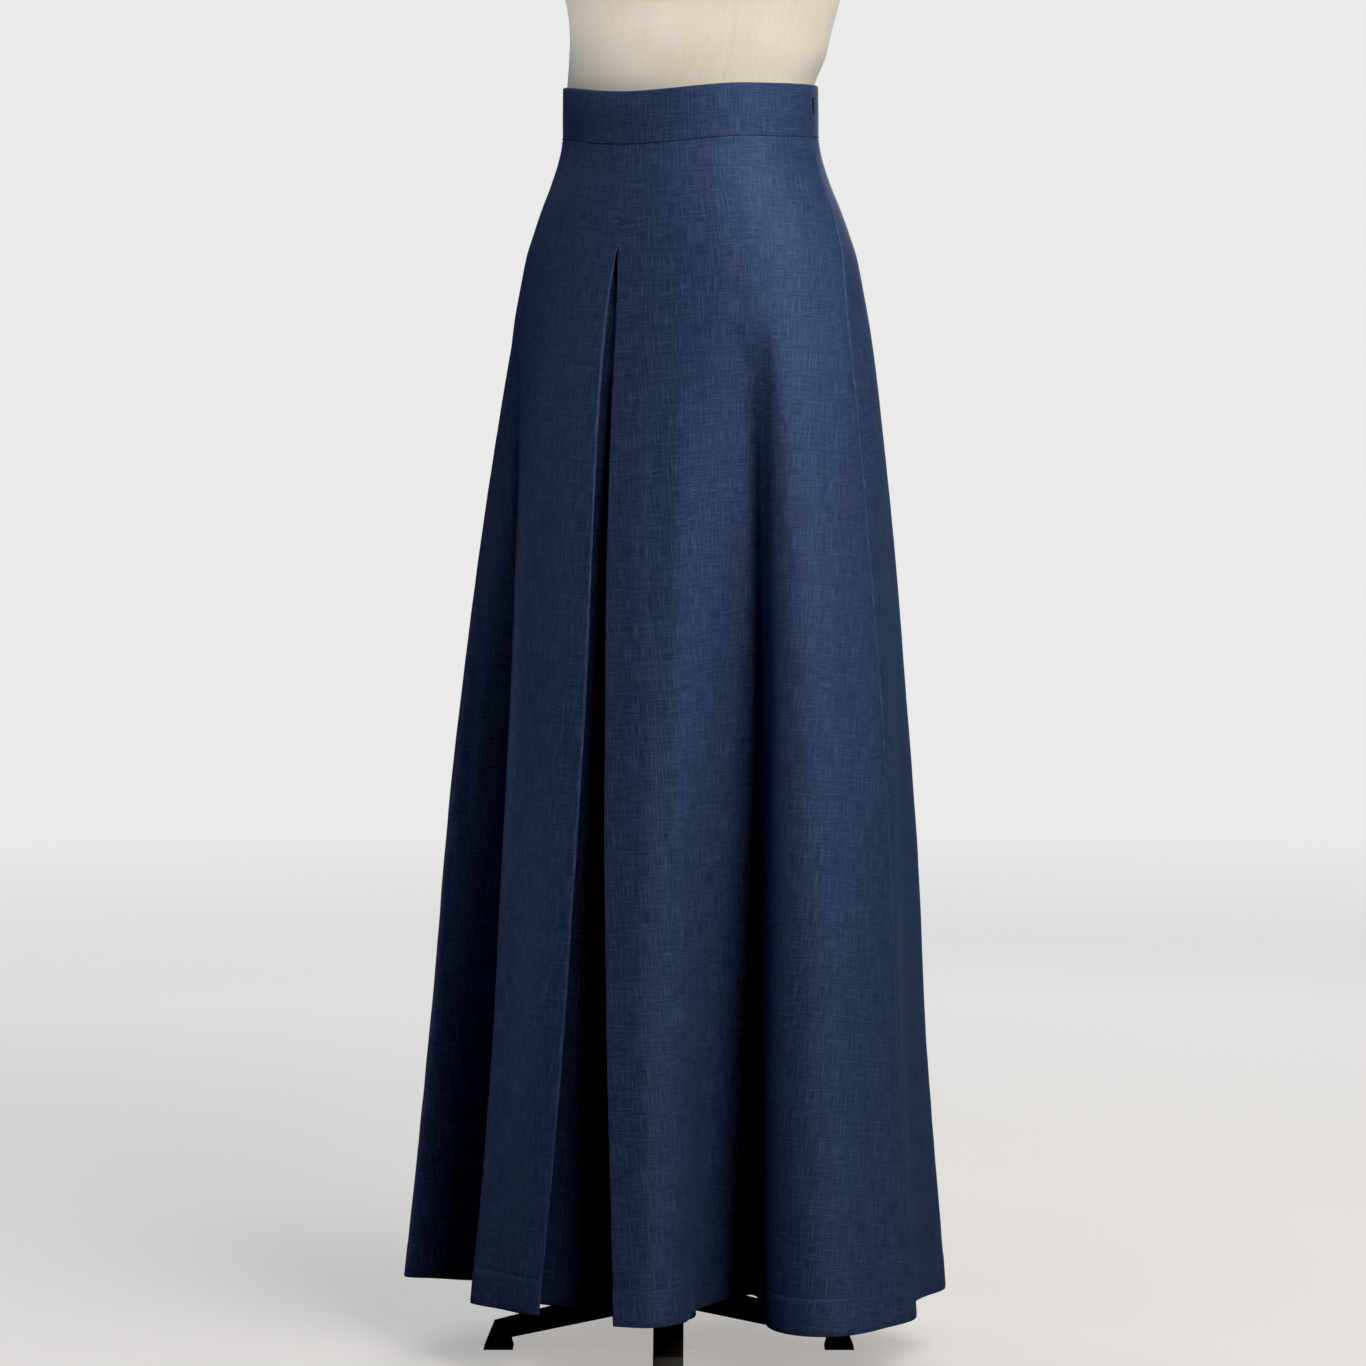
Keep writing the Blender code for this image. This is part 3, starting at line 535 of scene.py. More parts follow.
# Each crease of the cloth runs between two points: how far it reaches and how far it goes in
Crease = namedtuple("Crease", "start end reach deep")
CREASES = [Crease(Vector(start), Vector(end), reach, deep) for start, end, reach, deep in (
    ((-0.0506, -0.0878, 1.0468), (-0.0150, -0.0968, 1.0417), 0.0026, 0.0005),
    ((-0.0417, -0.0946, 1.0294), (-0.0012, -0.1018, 1.0218), 0.0035, 0.0004),
    ((0.0098, -0.0968, 1.0446), (0.0393, -0.0917, 1.0467), 0.0024, 0.0006),
    ((0.0126, -0.1009, 1.0233), (0.0460, -0.0955, 1.0212), 0.0040, 0.0004),
    ((0.0732, -0.0752, 1.0524), (0.0964, -0.0581, 1.0457), 0.0022, 0.0005),
    ((0.0702, -0.0889, 1.0075), (0.0995, -0.0720, 1.0024), 0.0050, 0.0003),
    ((0.1739, -0.0496, 0.8018), (0.1847, -0.0647, 0.7013), 0.0060, 0.0010),
    ((0.1847, -0.0647, 0.7013), (0.1921, -0.0852, 0.5847), 0.0060, 0.0008),
    ((0.1776, -0.1164, 0.3876), (0.1883, -0.1189, 0.3667), 0.0026, 0.0010),
    ((0.2403, -0.1142, 0.1353), (0.2481, -0.0696, 0.1202), 0.0042, 0.0009),
    ((0.2015, -0.1344, 0.2112), (0.2145, -0.1360, 0.1705), 0.0042, 0.0007),
    ((-0.0209, -0.1577, 0.5326), (-0.0227, -0.1642, 0.4697), 0.0040, 0.0009),
    ((-0.0193, -0.1661, 0.4530), (-0.0096, -0.1711, 0.4070), 0.0035, 0.0008),
    ((-0.0180, -0.1760, 0.3348), (-0.0142, -0.1794, 0.3137), 0.0030, 0.0009),
    ((0.0456, -0.1251, 0.8100), (0.0524, -0.1410, 0.6501), 0.0060, 0.0007),
    ((0.0495, -0.1489, 0.5827), (0.0535, -0.1668, 0.4148), 0.0060, 0.0007),
    ((0.0776, -0.1481, 0.4485), (0.0866, -0.1494, 0.3135), 0.0050, 0.0008),
    ((-0.1940, -0.0878, 0.4630), (-0.1946, -0.0965, 0.3396), 0.0050, 0.0009),
)]


def creased(point, normal):
    """A point of the cloth moved by its hand: long slack waves, fine crumpling and the creases."""
    down = min(max((WAIST_TOP - BAND_TALL - point.z) / WAVES_FULL, 0.0), 1.0)
    slack = noise.noise(point * SLACK_PACE)
    crumple = noise.noise(point * CRUMPLE_PACE)
    move = slack * (SLACK_HIGH + SLACK_MORE * down) + crumple * (CRUMPLE_HIGH + CRUMPLE_MORE * down)
    for crease in CREASES:
        run = crease.end - crease.start
        part = min(max((point - crease.start).dot(run) / run.length_squared, 0.0), 1.0)
        away = (point - crease.start - run * part).length
        if away < 3 * crease.reach:
            move -= crease.deep * math.exp(-(away / crease.reach) ** 2)
    return point + normal * move


def flat_cut(rows):
    """The panel laid flat: each column stays straight, and turns from the last by its flare."""
    middle = len(rows[0]) // 2
    top = rows[-1]
    bottom = rows[0]
    lengths = [sum((high[column] - low[column]).length for low, high in zip(rows, rows[1:]))
               for column in range(len(top))]
    heads = {middle: Vector((0.0, 0.0))}
    leans = {middle: 0.0}
    for way in (1, -1):
        column = middle
        while 0 <= column + way < len(top):
            ahead = column + way
            narrow = (top[ahead] - top[column]).length
            wide = (bottom[ahead] - bottom[column]).length
            lean = leans[column] + way * (wide - narrow) / lengths[column]
            level = (lean + leans[column]) / 2
            heads[ahead] = heads[column] + Vector((math.cos(level), math.sin(level))) * (narrow * way)
            leans[ahead] = lean
            column = ahead
    flat = [[None] * len(top) for _ in rows]
    for column in range(len(top)):
        fall = 0.0
        way = Vector((math.sin(leans[column]), -math.cos(leans[column])))
        for level in range(len(rows) - 1, -1, -1):
            if level < len(rows) - 1:
                fall += (rows[level + 1][column] - rows[level][column]).length
            flat[level][column] = heads[column] + way * fall
    return flat


def sewn(row, column, rings, level, seams):
    """How far sewing moves a point of the cloth outwards, and how far up into the band."""
    point = row[column]
    away = min([(point - row[end]).length for end in seams], default=1.0)
    out = -SEAM_TURN_IN * math.exp(-(away / SEAM_TURN_REACH) ** 2)
    if seams and point.x > 0 and point.z > ZIP_END:
        out += LIP_PROUD * math.exp(-((away - LIP_AWAY) / LIP_REACH) ** 2)
    tuck = ease(1 - (rings[-1][column] - point).length / TUCK_REACH)
    share = LEVELS[level]
    out += HEM_STEP * ease((HEM_LINE - share) / NEAR_HEM_LINE[-1] + 0.5)
    out -= HEM_DIMPLE * math.exp(-((share - HEM_LINE) / HEM_DIMPLE_REACH) ** 2)
    out -= HEM_ROUND * ease(1 - share / NEAR_HEM[-1])
    return out - TUCK_DEEP * tuck, TUCK_UP * tuck


def hung_sheet(name, rows, material, seams=()):
    """A sheet of cloth through rows of points from the hem up, with its flat cut as its UV map."""
    across = len(rows[0])
    flat = flat_cut(rows)
    shape = bmesh.new()
    bmesh.ops.create_grid(shape, x_segments=across - 1, y_segments=len(rows) - 1)
    shape.verts.ensure_lookup_table()
    for index, vertex in enumerate(shape.verts):
        vertex.co = rows[index // across][index % across]
    shape.normal_update()
    moved = []
    for index, vertex in enumerate(shape.verts):
        level, column = divmod(index, across)
        out, up = sewn(rows[level], column, rows, level, seams)
        moved.append(creased(vertex.co, vertex.normal) + vertex.normal * out + Vector((0.0, 0.0, up)))
    for vertex, place in zip(shape.verts, moved):
        vertex.co = place
    cut = shape.loops.layers.uv.new("cloth")
    for face in shape.faces:
        for loop in face.loops:
            loop[cut].uv = flat[loop.vert.index // across][loop.vert.index % across]
    piece = keep(shape, name, material, "root", CLOTH_SMOOTH_UNDER)
    wall = piece.modifiers.new("cloth", "SOLIDIFY")
    wall.thickness = CLOTH_THICK
    wall.offset = -1.0
    return piece


def navy_linen(name):
    """The weave on the flat cut: single threads as bump, and pale and dark slubs both ways."""
    material, shader = finish(name, Roughness=0.50, IOR=1.5, Specular_IOR_Level=0.36,
                              Specular_Tint=GLOSS_TINT, Sheen_Weight=0.14, Sheen_Roughness=0.40,
                              Sheen_Tint=SHEEN_TINT)
    place = node(material, "UVMap", uv_map="cloth").outputs[0]

    def stretched(wide, tall, detail, seed):
        apart_from_others = (seed, seed * 0.7, seed * 1.3)
        mapped = node(material, "Mapping", Vector=place, Scale=(1 / wide, 1 / tall, 1.0),
                      Location=apart_from_others).outputs[0]
        return node(material, "TexNoise", Vector=mapped, Scale=1.0, Detail=detail, Roughness=0.55).outputs[0]

    def mixed(operation, first, second):
        return node(material, "Math", operation=operation, i0=first, i1=second).outputs[0]

    def past(value, start, full):
        return node(material, "MapRange", Value=value, From_Min=start, From_Max=full).outputs[0]

    def tinted(share, under, over):
        return node(material, "Mix", data_type="RGBA", i0=share, i6=under, i7=over).outputs[2]

    apart = node(material, "SeparateXYZ", Vector=place)
    turn = math.pi / THREAD_PITCH
    warp = mixed("SINE", mixed("MULTIPLY", apart.outputs[0], turn), 0.0)
    weft = mixed("SINE", mixed("MULTIPLY", apart.outputs[1], turn), 0.0)
    weave = mixed("MULTIPLY", warp, weft)
    warp_slub = stretched(0.0013, 0.022, 1.0, 3.1)
    weft_slub = stretched(0.015, 0.0012, 1.0, 11.7)
    warp_thread = stretched(0.0007, 0.0045, 1.0, 23.3)
    weft_thread = stretched(0.0045, 0.0007, 1.0, 31.9)
    streaks = stretched(0.0050, 0.110, 2.0, 61.0)
    clouds = stretched(0.050, 0.070, 3.0, 47.0)
    pale = mixed("MAXIMUM", past(warp_slub, 0.53, 0.69), past(weft_slub, 0.54, 0.74))
    deep = mixed("MAXIMUM", past(warp_slub, 0.48, 0.32), past(weft_slub, 0.46, 0.30))
    fine = mixed("ADD", warp_thread, weft_thread)
    broad = mixed("ADD", mixed("MULTIPLY", clouds, 0.35), mixed("MULTIPLY", streaks, 0.50))
    tone = mixed("ADD", broad, mixed("MULTIPLY", fine, 0.60))
    ground = ramp(material, tone, 0.80, 1.25, NAVY_DARK, NAVY)
    darker = tinted(mixed("MULTIPLY", deep, 0.75), ground, NAVY_DEEP)
    link(material, tinted(mixed("MULTIPLY", pale, 0.8), darker, NAVY_PALE), shader.inputs["Base Color"])
    slubs = mixed("ADD", warp_slub, weft_slub)
    threads = mixed("ADD", mixed("MULTIPLY", weave, 0.5), mixed("MULTIPLY", slubs, 1.6))
    bump = node(material, "Bump", Strength=0.5, Distance=0.00022, Height=threads)
    link(material, bump.outputs[0], shader.inputs["Normal"])
    return material


LEVELS = levels()
linen = navy_linen("navy_linen")
rows = []
places = seam_places(0, LEFT_SEAM, FRONT_COLUMNS)
for share in LEVELS:
    face = cloth_row(share, places)
    rows.append(pleat_row(1, share, face[3]) + face[2:])
front_left = hung_sheet("front_left_linen", rows, linen, (-1,))
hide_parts("front_left_panel")


# The front right panel is the same piece mirrored in its cut: side seam, centre front edge
# and the pleat's other return. Its lobe beside the pleat stands forward of its deep side fold.
rows = []
places = seam_places(RIGHT_SEAM, LAST_FOLD, FRONT_COLUMNS)
for share in LEVELS:
    face = cloth_row(share, places)
    rows.append(face[:-2] + list(reversed(pleat_row(-1, share, face[-4]))))
front_right = hung_sheet("front_right_linen", rows, linen, (0,))
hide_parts("front_right_panel")


# The back is one flared panel between the side seams, hanging in five soft lobes.
rows = []
places = seam_places(LEFT_SEAM, RIGHT_SEAM, BACK_COLUMNS)
for share in LEVELS:
    rows.append(cloth_row(share, places))
back = hung_sheet("back_linen", rows, linen, (0, -1))
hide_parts("back_panel")


# The underlay is the strip behind the pleat. It is sewn to the two returns at their inner
# folds and caught in the waist seam, and shows only as the dark ground of the open pleat.
UNDERLAY_STEPS = 36
UNDERLAY_GAP = 0.0005
rows = []
for share in LEVELS:
    row = []
    depth = PLEAT_EDGE_RADIUS * 2
    for step in range(UNDERLAY_STEPS + 1):
        part = step / UNDERLAY_STEPS
        turn = PLEAT_DEEP_TURN * (part * 2 - 1)
        height = HEM_HEIGHT + (seam_height(turn) - HEM_HEIGHT) * share
        shifts = [inner_shift(side, 1.0, height, depth) for side in (-1, 1)]
        curved = cone(height, turn, depth) + shifts[0].lerp(shifts[1], part)
        ends = [cone(height, side * PLEAT_DEEP_TURN, depth) + shift for side, shift in zip((-1, 1), shifts)]
        point = curved.lerp(ends[0].lerp(ends[1], part), grown(PLEAT_MOUTH, height, INNER_GROWTH))
        point.y += UNDERLAY_GAP
        row.append(point)
    rows.append(row)
underlay = hung_sheet("pleat_underlay_linen", rows, linen)
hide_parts("pleat_underlay")


# The hem is turned up on the inside and caught down by small prick stitches in a paler thread,
# and a short bar tack across the pleat's mouth keeps its seam from tearing open.
STITCH_PITCH = 0.0064
STITCH_LONG = 0.0009
STITCH_UNEVEN = 0.5
UNEVEN_PACE = 400.0
STITCH_HALF = 0.00016
STITCH_PROUD = 0.0001
BEAD_SMOOTH_UNDER = 180.0
TACK_HALF = 0.0016
TACK_THREADS = 7
TACK_STEP = 0.00045
TACK_THICKER = 1.6
THREAD = (0.070, 0.108, 0.210, 1.0)


def spun_thread():
    """Twisted polyester thread."""
    material, shader = finish("hem_thread", Roughness=0.45, IOR=1.5, Sheen_Weight=0.1)
    place = node(material, "TexCoord").outputs["Object"]
    twist = node(material, "TexNoise", Vector=place, Scale=1800.0, Detail=2.0).outputs[0]
    link(material, ramp(material, twist, 0.35, 0.65, NAVY_PALE, THREAD), shader.inputs["Base Color"])
    bump = node(material, "Bump", Strength=0.3, Distance=0.00005, Height=twist)
    link(material, bump.outputs[0], shader.inputs["Normal"])
    return material


def bead(shape, centre, along, out, sizes):
    """A small smooth bead; sizes are its half lengths along, across and out."""
    across = out.cross(along).normalized()
    turned = Matrix((along.normalized(), across, along.normalized().cross(across))).transposed().to_4x4()
    turned.translation = centre
    place = turned @ Matrix.Diagonal((*sizes, 1.0))
    bmesh.ops.create_icosphere(shape, subdivisions=1, radius=1.0, matrix=place)


def walk(points, pitch):
    """Places a pitch apart along a line of points, as (point, direction)."""
    due = pitch / 2
    for start, end in zip(points, points[1:]):
        run = end - start
        while due < run.length:
            yield start + run * (due / run.length), run.normalized()
            due += pitch
        due -= run.length


def hem_line(piece):
    """The line of the sewn hem on a sheet, and the face's normals beside it."""
    mesh = piece.data
    across = len(mesh.vertices) // len(LEVELS)
    first = LEVELS.index(HEM_LINE) * across
    found = [mesh.vertices[first + step] for step in range(across)]
    return [(vertex.co.copy(), vertex.normal.copy()) for vertex in found]


# Sewn by hand, so the stitches differ a little in length
stitches = bmesh.new()
for sheet in (front_left, front_right, back, underlay):
    line = hem_line(sheet)
    for at, along in walk([point for point, _ in line], STITCH_PITCH):
        out = min(line, key=lambda beside: (beside[0] - at).length)[1]
        size = 1.0 + STITCH_UNEVEN * noise.noise(at * UNEVEN_PACE)
        halves = (STITCH_LONG * size, STITCH_HALF * size, STITCH_HALF)
        bead(stitches, at + out * STITCH_PROUD, along, out, halves)

# The bar tack's threads lie level across the pleat's mouth, one above the other
mouth = cone(PLEAT_MOUTH, 0.0)
halves = (TACK_HALF, STITCH_HALF * TACK_THICKER, STITCH_HALF * TACK_THICKER)
for thread in range(TACK_THREADS):
    at = mouth + Vector((0.0, -STITCH_PROUD, (thread - TACK_THREADS // 2) * TACK_STEP))
    bead(stitches, at, Vector((1.0, 0.0, 0.0)), Vector((0.0, -1.0, 0.0)), halves)
hem_stitches = keep(stitches, "hem_stitches", spun_thread(), "root", BEAD_SMOOTH_UNDER)


# The waistband is a doubled strip of the same linen with interlining, cut in a front and a
# back part. It is folded over at the top, sewn to the skirt below and closed by the side zip.
SEAM_LEFT_TURN = 100.0
SEAM_RIGHT_TURN = 252.0
BAND_TURN_STEP = 1.5
BAND_END_GAP = 0.14
BAND_NEAR_END = (0.0, 0.06, 0.16, 0.32, 0.6)
BAND_ROLL = 0.0012
BAND_FACE_RINGS = 16
BAND_ROLL_STEPS = 5
BAND_END_FLAT = 0.1
BAND_SMOOTH_UNDER = 50.0
RIPPLE_HIGH = 0.0004
RIPPLE_PACE_ROUND = 45.0
RIPPLE_PACE_UP = 30.0
SAME_POINT = 0.000001


def band_profile():
    """The band's section, up the face, over the fold and down inside, as (depth in, height)."""
    half = BAND_WALL / 2
    straight = BAND_TALL / 2 - BAND_ROLL
    face = [(0.0, straight * (2 * step / BAND_FACE_RINGS - 1)) for step in range(BAND_FACE_RINGS + 1)]
    fold = []
    for step in range(1, 2 * BAND_ROLL_STEPS):
        angle = math.pi * step / (2 * BAND_ROLL_STEPS)
        fold.append((half * (1 - math.cos(angle)), straight + BAND_ROLL * math.sin(angle)))
    outer = face + fold
    return outer + [(BAND_WALL - depth, -height) for depth, height in outer]


def band_piece(name, first_turn, last_turn, material):
    """A closed roll between two turns, rounded off where its ends meet the side seams."""
    first = first_turn + BAND_END_GAP
    last = last_turn - BAND_END_GAP
    steps = round((last - first) / BAND_TURN_STEP)
    near = BAND_NEAR_END
    inside = [first + (last - first) * step / steps for step in range(1, steps)]
    turns = [first + away for away in near] + inside + [last - away for away in reversed(near)]
    section = band_profile()
    section.append(section[0])
    shape = bmesh.new()
    bmesh.ops.create_grid(shape, x_segments=len(turns) - 1, y_segments=len(section) - 1)
    shape.verts.ensure_lookup_table()
    places = {}
    run = 0.0
    before = cone(WAIST_TOP, first)
    for step, turn in enumerate(turns):
        face = cone(WAIST_TOP, turn)
        run += (face - before).length
        before = face
        middle = band_top(turn) - BAND_TALL / 2
        to_end = min(turn - first, last - turn, near[-1]) / near[-1]
        squeeze = max(math.sqrt(1 - (1 - to_end) ** 2), BAND_END_FLAT)
        climb = 0.0
        for ring, (depth, height) in enumerate(section):
            if ring:
                climb += math.hypot(depth - section[ring - 1][0], height - section[ring - 1][1])
            deep = BAND_WALL / 2 + (depth - BAND_WALL / 2) * squeeze
            around = face * RIPPLE_PACE_ROUND
            ripple = noise.noise(Vector((around.x, around.y, height * RIPPLE_PACE_UP)))
            deep -= RIPPLE_HIGH * ripple * max(1 - 2 * depth / BAND_WALL, 0.0)
            vertex = shape.verts[ring * len(turns) + step]
            vertex.co = cone(middle + height, turn, deep)
            places[vertex] = (run, climb)
    cut = shape.loops.layers.uv.new("cloth")
    for face in shape.faces:
        for loop in face.loops:
            loop[cut].uv = places[loop.vert]
    bmesh.ops.remove_doubles(shape, verts=shape.verts, dist=SAME_POINT)
    bmesh.ops.holes_fill(shape, edges=[edge for edge in shape.edges if edge.is_boundary], sides=0)
    bmesh.ops.recalc_face_normals(shape, faces=shape.faces)
    return keep(shape, name, material, "root", BAND_SMOOTH_UNDER)


band_linen = navy_linen("navy_linen_band")
band_front = band_piece("waistband_front_linen", SEAM_RIGHT_TURN - 360.0, SEAM_LEFT_TURN, band_linen)
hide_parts("waistband_front")
band_back = band_piece("waistband_back_linen", SEAM_LEFT_TURN, SEAM_RIGHT_TURN, band_linen)
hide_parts("waistband_back")


# The zip's slider and its pull tab are small zinc castings with a blue enamel coat, a little
# worn to a lighter blue in places. Both keep the shape that they have in the loaded frame.
ENAMEL = (0.075, 0.125, 0.250, 1.0)
ENAMEL_WORN = (0.190, 0.280, 0.460, 1.0)


def blue_enamel():
    """A hard blue coat over zinc, with small rubbed spots."""
    material, shader = finish("blue_enamel", Metallic=0.35, IOR=1.5, Coat_Weight=0.3, Coat_Roughness=0.2)
    place = node(material, "TexCoord").outputs["Object"]
    rubbed = node(material, "TexNoise", Vector=place, Scale=900.0, Detail=3.0).outputs[0]
    link(material, ramp(material, rubbed, 0.4, 0.65, ENAMEL, ENAMEL_WORN), shader.inputs["Base Color"])
    rough = node(material, "MapRange", Value=rubbed, To_Min=0.28, To_Max=0.5)
    link(material, rough.outputs[0], shader.inputs["Roughness"])
    bump = node(material, "Bump", Strength=0.2, Distance=0.00005, Height=rubbed)
    link(material, bump.outputs[0], shader.inputs["Normal"])
    return material


enamel = blue_enamel()
for name in ("zip_slider", "zip_pull_tab"):
    nodes[name].data.materials.clear()
    nodes[name].data.materials.append(enamel)


# The zip runs from the top of the band down the left side seam. Its spiral teeth are nylon, and
# they lie just behind the two turned edges of the cloth, so only a thin line of them shows.
TOOTH_PITCH = 0.0010
TOOTH_HALVES = (0.00034, 0.0011, 0.0005)
TOOTH_DEEP = 0.0012
TEETH_IN_BAND = (0.002, 0.010, 0.020, 0.032)
OVAL_SQUARED = 1.4
COIL_BLUE = (0.060, 0.100, 0.200, 1.0)
teeth = bmesh.new()
coil_line = [fold_point(LEFT_SEAM, share) for share in LEVELS]
coil_line = [point for point in coil_line if point.z > ZIP_END]
coil_line += [cone(coil_line[-1].z + rise, SEAM_LEFT_TURN) for rise in TEETH_IN_BAND]
for at, along in walk(coil_line, TOOTH_PITCH):
    out = Vector((at.x, at.y * OVAL_SQUARED, 0.0)).normalized()
    bead(teeth, at - out * TOOTH_DEEP, along, out, TOOTH_HALVES)
nylon, shader = finish("zip_nylon", Roughness=0.35, IOR=1.5)
place = node(nylon, "TexCoord").outputs["Object"]
tone = node(nylon, "TexNoise", Vector=place, Scale=700.0, Detail=2.0).outputs[0]
link(nylon, ramp(nylon, tone, 0.35, 0.65, NAVY_DEEP, COIL_BLUE), shader.inputs["Base Color"])
zip_teeth = keep(teeth, "zip_teeth", nylon, "root", BEAD_SMOOTH_UNDER)


# The studio's floor is pale paper that curves up into the wall all round. It glows a little: its
# brightness is mostly a painted glow, warmer near the stand and brighter towards the wall. The glow
# is turned down as painted shade near the stand and as a painted shadow behind it at the wearer's
# right, where the skirt keeps light away. Further out the paper's own colour fades to dark grey.
FLOOR_PROFILE = ((0.001, 0.0), (1.0, 0.0), (3.0, 0.0), (6.0, 0.0), (8.0, 0.06), (9.5, 0.35),
                 (11.0, 1.2), (12.0, 2.6), (12.4, 4.5), (12.5, 7.0))
FLOOR_SIDES = 96
PAPER_NEAR = (0.62, 0.59, 0.56, 1.0)
PAPER_FAR = (0.10, 0.10, 0.10, 1.0)
GLOW_NEAR = (1.0, 0.962, 0.920, 1.0)
GLOW_FAR = (1.0, 1.0, 1.0, 1.0)
# The middle of the painted shadow on the floor
PAINTED_SHADOW_AT = (-1.0, 0.95, 0.0)
bowl = bmesh.new()
ring = [bowl.verts.new((out, 0.0, up)) for out, up in FLOOR_PROFILE]
profile = [bowl.edges.new(pair) for pair in zip(ring, ring[1:])]
bmesh.ops.spin(bowl, geom=ring + profile, cent=(0.0, 0.0, 0.0), axis=(0.0, 0.0, 1.0), dvec=(0.0, 0.0, 0.0),
               angle=math.tau, steps=FLOOR_SIDES, use_merge=True)
bmesh.ops.recalc_face_normals(bowl, faces=bowl.faces)
paper, shader = finish("studio_paper", Roughness=0.9)
spot = node(paper, "TexCoord").outputs["Object"]
away = node(paper, "VectorMath", operation="LENGTH", i0=spot).outputs["Value"]
# Painted shade: the glow is lowest near the stand and rises outwards, darkening the floor round it
near = node(paper, "MapRange", Value=away, From_Min=0.4, From_Max=2.4, To_Min=0.42, To_Max=0.67).outputs[0]
# Painted glow that brightens the paper further towards the wall
far = node(paper, "MapRange", interpolation_type="SMOOTHSTEP", Value=away, From_Min=2.0, From_Max=5.2,
           To_Min=0.0, To_Max=0.153).outputs[0]
# Painted shadow: the glow is taken down in a soft patch behind the stand at the wearer's right
from_painted_shadow = node(paper, "VectorMath", operation="SUBTRACT", i0=spot, i1=PAINTED_SHADOW_AT).outputs[0]
from_painted_shadow = node(paper, "VectorMath", operation="LENGTH", i0=from_painted_shadow).outputs["Value"]
painted_shadow = node(paper, "MapRange", Value=from_painted_shadow, From_Min=0.2, From_Max=1.5, To_Min=0.07,
             To_Max=0.0).outputs[0]
glow = node(paper, "Math", operation="ADD", i0=near, i1=far).outputs[0]
glow = node(paper, "Math", operation="SUBTRACT", i0=glow, i1=painted_shadow).outputs[0]
# The glow is painted light on the paper, a little warmer near the stand
link(paper, glow, shader.inputs["Emission Strength"])
link(paper, ramp(paper, away, 0.2, 3.2, GLOW_NEAR, GLOW_FAR), shader.inputs["Emission Color"])
link(paper, ramp(paper, away, 0.9, 3.2, PAPER_NEAR, PAPER_FAR), shader.inputs["Base Color"])
mesh = bpy.data.meshes.new("studio_floor")
bowl.to_mesh(mesh)
bowl.free()
mesh.materials.append(paper)
mesh.shade_smooth()
floor = bpy.data.objects.new("studio_floor", mesh)
bpy.context.scene.collection.objects.link(floor)
floor.visible_diffuse = False
floor.visible_glossy = False


# The lamps: two large soft ones at the wearer's left make the main light, weaker ones rim both
# sides and fill the front right, and one lights the back. Narrow ones brighten the chest, one
# shoulder and the hem at the wearer's right.
WHITE = (1.0, 1.0, 1.0)
SKY_TINT = (0.80, 0.94, 1.24)
SPOT_AWAY = 2.6
SPOT_SOFT = 0.04
SKY_LOW = 0.085
SKY_HIGH = 0.01
BLACK_LEVEL = (0.0012, 0.0020, 0.0040)
Lamp = namedtuple("Lamp", "name turn away height size power aim tint")
LAMPS = (
    Lamp("key_lamp", 72.0, 1.3, 2.1, 0.9, 13.9, 1.0, WHITE),
    Lamp("side_lamp", 60.0, 1.9, 1.6, 0.9, 14.4, 0.8, WHITE),
    Lamp("fill_lamp", -54.0, 2.6, 1.0, 1.2, 5.4, 0.7, SKY_TINT),
    Lamp("rim_lamp", 98.0, 2.6, 1.0, 1.2, 4.1, 0.7, WHITE),
    Lamp("edge_lamp", -100.0, 1.3, 2.1, 0.9, 5.0, 1.0, SKY_TINT),
    Lamp("back_lamp", 205.0, 2.4, 1.9, 1.6, 22.0, 0.85, WHITE),
)
Spot = namedtuple("Spot", "name turn height angle blend power tint")
SPOTS = (
    Spot("chest_lamp", -20.0, 1.32, 9.6, 0.15, 150.0, WHITE),
    Spot("shoulder_lamp", 120.0, 1.32, 9.6, 0.15, 70.0, WHITE),
    Spot("hem_lamp", -75.0, 0.28, 14.0, 0.7, 7.0, SKY_TINT),
)


def hang(light, turn, away, height, aim):
    """Hangs a lamp at a turn, a distance and a height, turned to a height of the skirt's middle."""
    placed = bpy.data.objects.new(light.name, light)
    bpy.context.scene.collection.objects.link(placed)
    placed.location = on_oval(away, away, turn) + Vector((0.0, 0.0, height))
    placed.rotation_euler = (placed.location - Vector((0.0, 0.0, aim))).to_track_quat("Z", "Y").to_euler()
    return placed


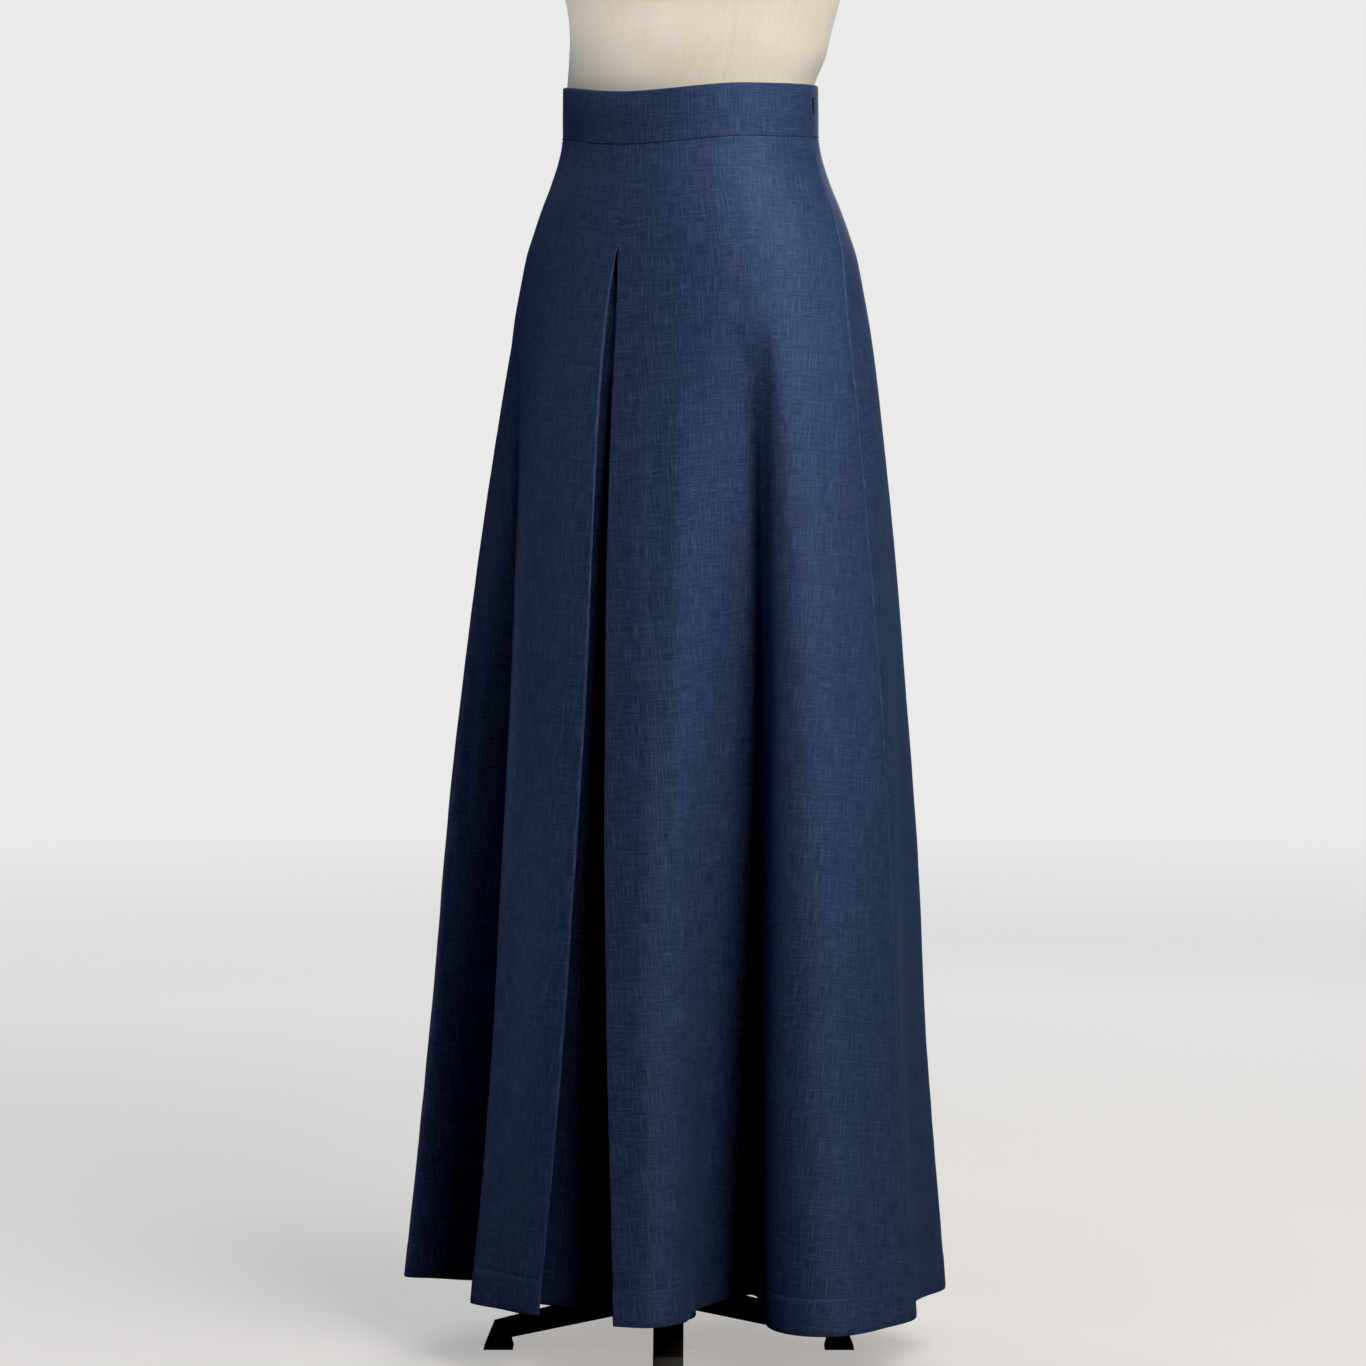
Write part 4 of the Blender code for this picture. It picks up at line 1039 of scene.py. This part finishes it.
for lamp in LAMPS:
    light = bpy.data.lights.new(lamp.name, "AREA")
    light.shape = "SQUARE"
    light.size = lamp.size
    light.energy = lamp.power
    light.color = lamp.tint
    hang(light, lamp.turn, lamp.away, lamp.height, lamp.aim).visible_camera = False
for lamp in SPOTS:
    light = bpy.data.lights.new(lamp.name, "SPOT")
    light.energy = lamp.power
    light.color = lamp.tint
    light.shadow_soft_size = SPOT_SOFT
    light.spot_size = math.radians(lamp.angle)
    light.spot_blend = lamp.blend
    hang(light, lamp.turn, SPOT_AWAY, lamp.height, lamp.height)
world = bpy.data.worlds.new("studio_light")
bpy.context.scene.world = world
world.use_nodes = True
sky = world.node_tree.nodes["Background"]
upward = node(world, "SeparateXYZ", Vector=node(world, "TexCoord").outputs["Generated"]).outputs[2]
glow = node(world, "MapRange", Value=upward, From_Min=0.1, From_Max=0.5, To_Min=SKY_LOW, To_Max=SKY_HIGH)
link(world, glow.outputs[0], sky.inputs[1])
look = bpy.context.scene.view_settings
look.view_transform = "Standard"
look.use_curve_mapping = True
look.curve_mapping.black_level = BLACK_LEVEL
look.curve_mapping.update()


# The camera stands at the wearer's front left, at hip height, and looks a little down.
CAMERA_TURN = 34.0
CAMERA_AWAY = 4.5
CAMERA_HEIGHT = 0.8986
FOCAL_PIXELS = 5164.0
FRAME_PIXELS = 1366.0
LOOK_DOWN_PIXELS = 358.0
LOOK_LEFT_PIXELS = 7.0
SENSOR = 36.0
SEES_UP_TO = 60.0
look_down = math.atan(LOOK_DOWN_PIXELS / FOCAL_PIXELS)
look_left = math.atan(LOOK_LEFT_PIXELS / FOCAL_PIXELS)
camera = bpy.data.objects.new("camera", bpy.data.cameras.new("camera"))
bpy.context.scene.collection.objects.link(camera)
camera.data.sensor_width = SENSOR
camera.data.lens = FOCAL_PIXELS / FRAME_PIXELS * SENSOR
camera.data.clip_end = SEES_UP_TO
camera.location = on_oval(CAMERA_AWAY, CAMERA_AWAY, CAMERA_TURN) + Vector((0.0, 0.0, CAMERA_HEIGHT))
camera.rotation_euler = (math.pi / 2 - look_down, 0.0, math.radians(CAMERA_TURN) + look_left)
bpy.context.scene.camera = camera
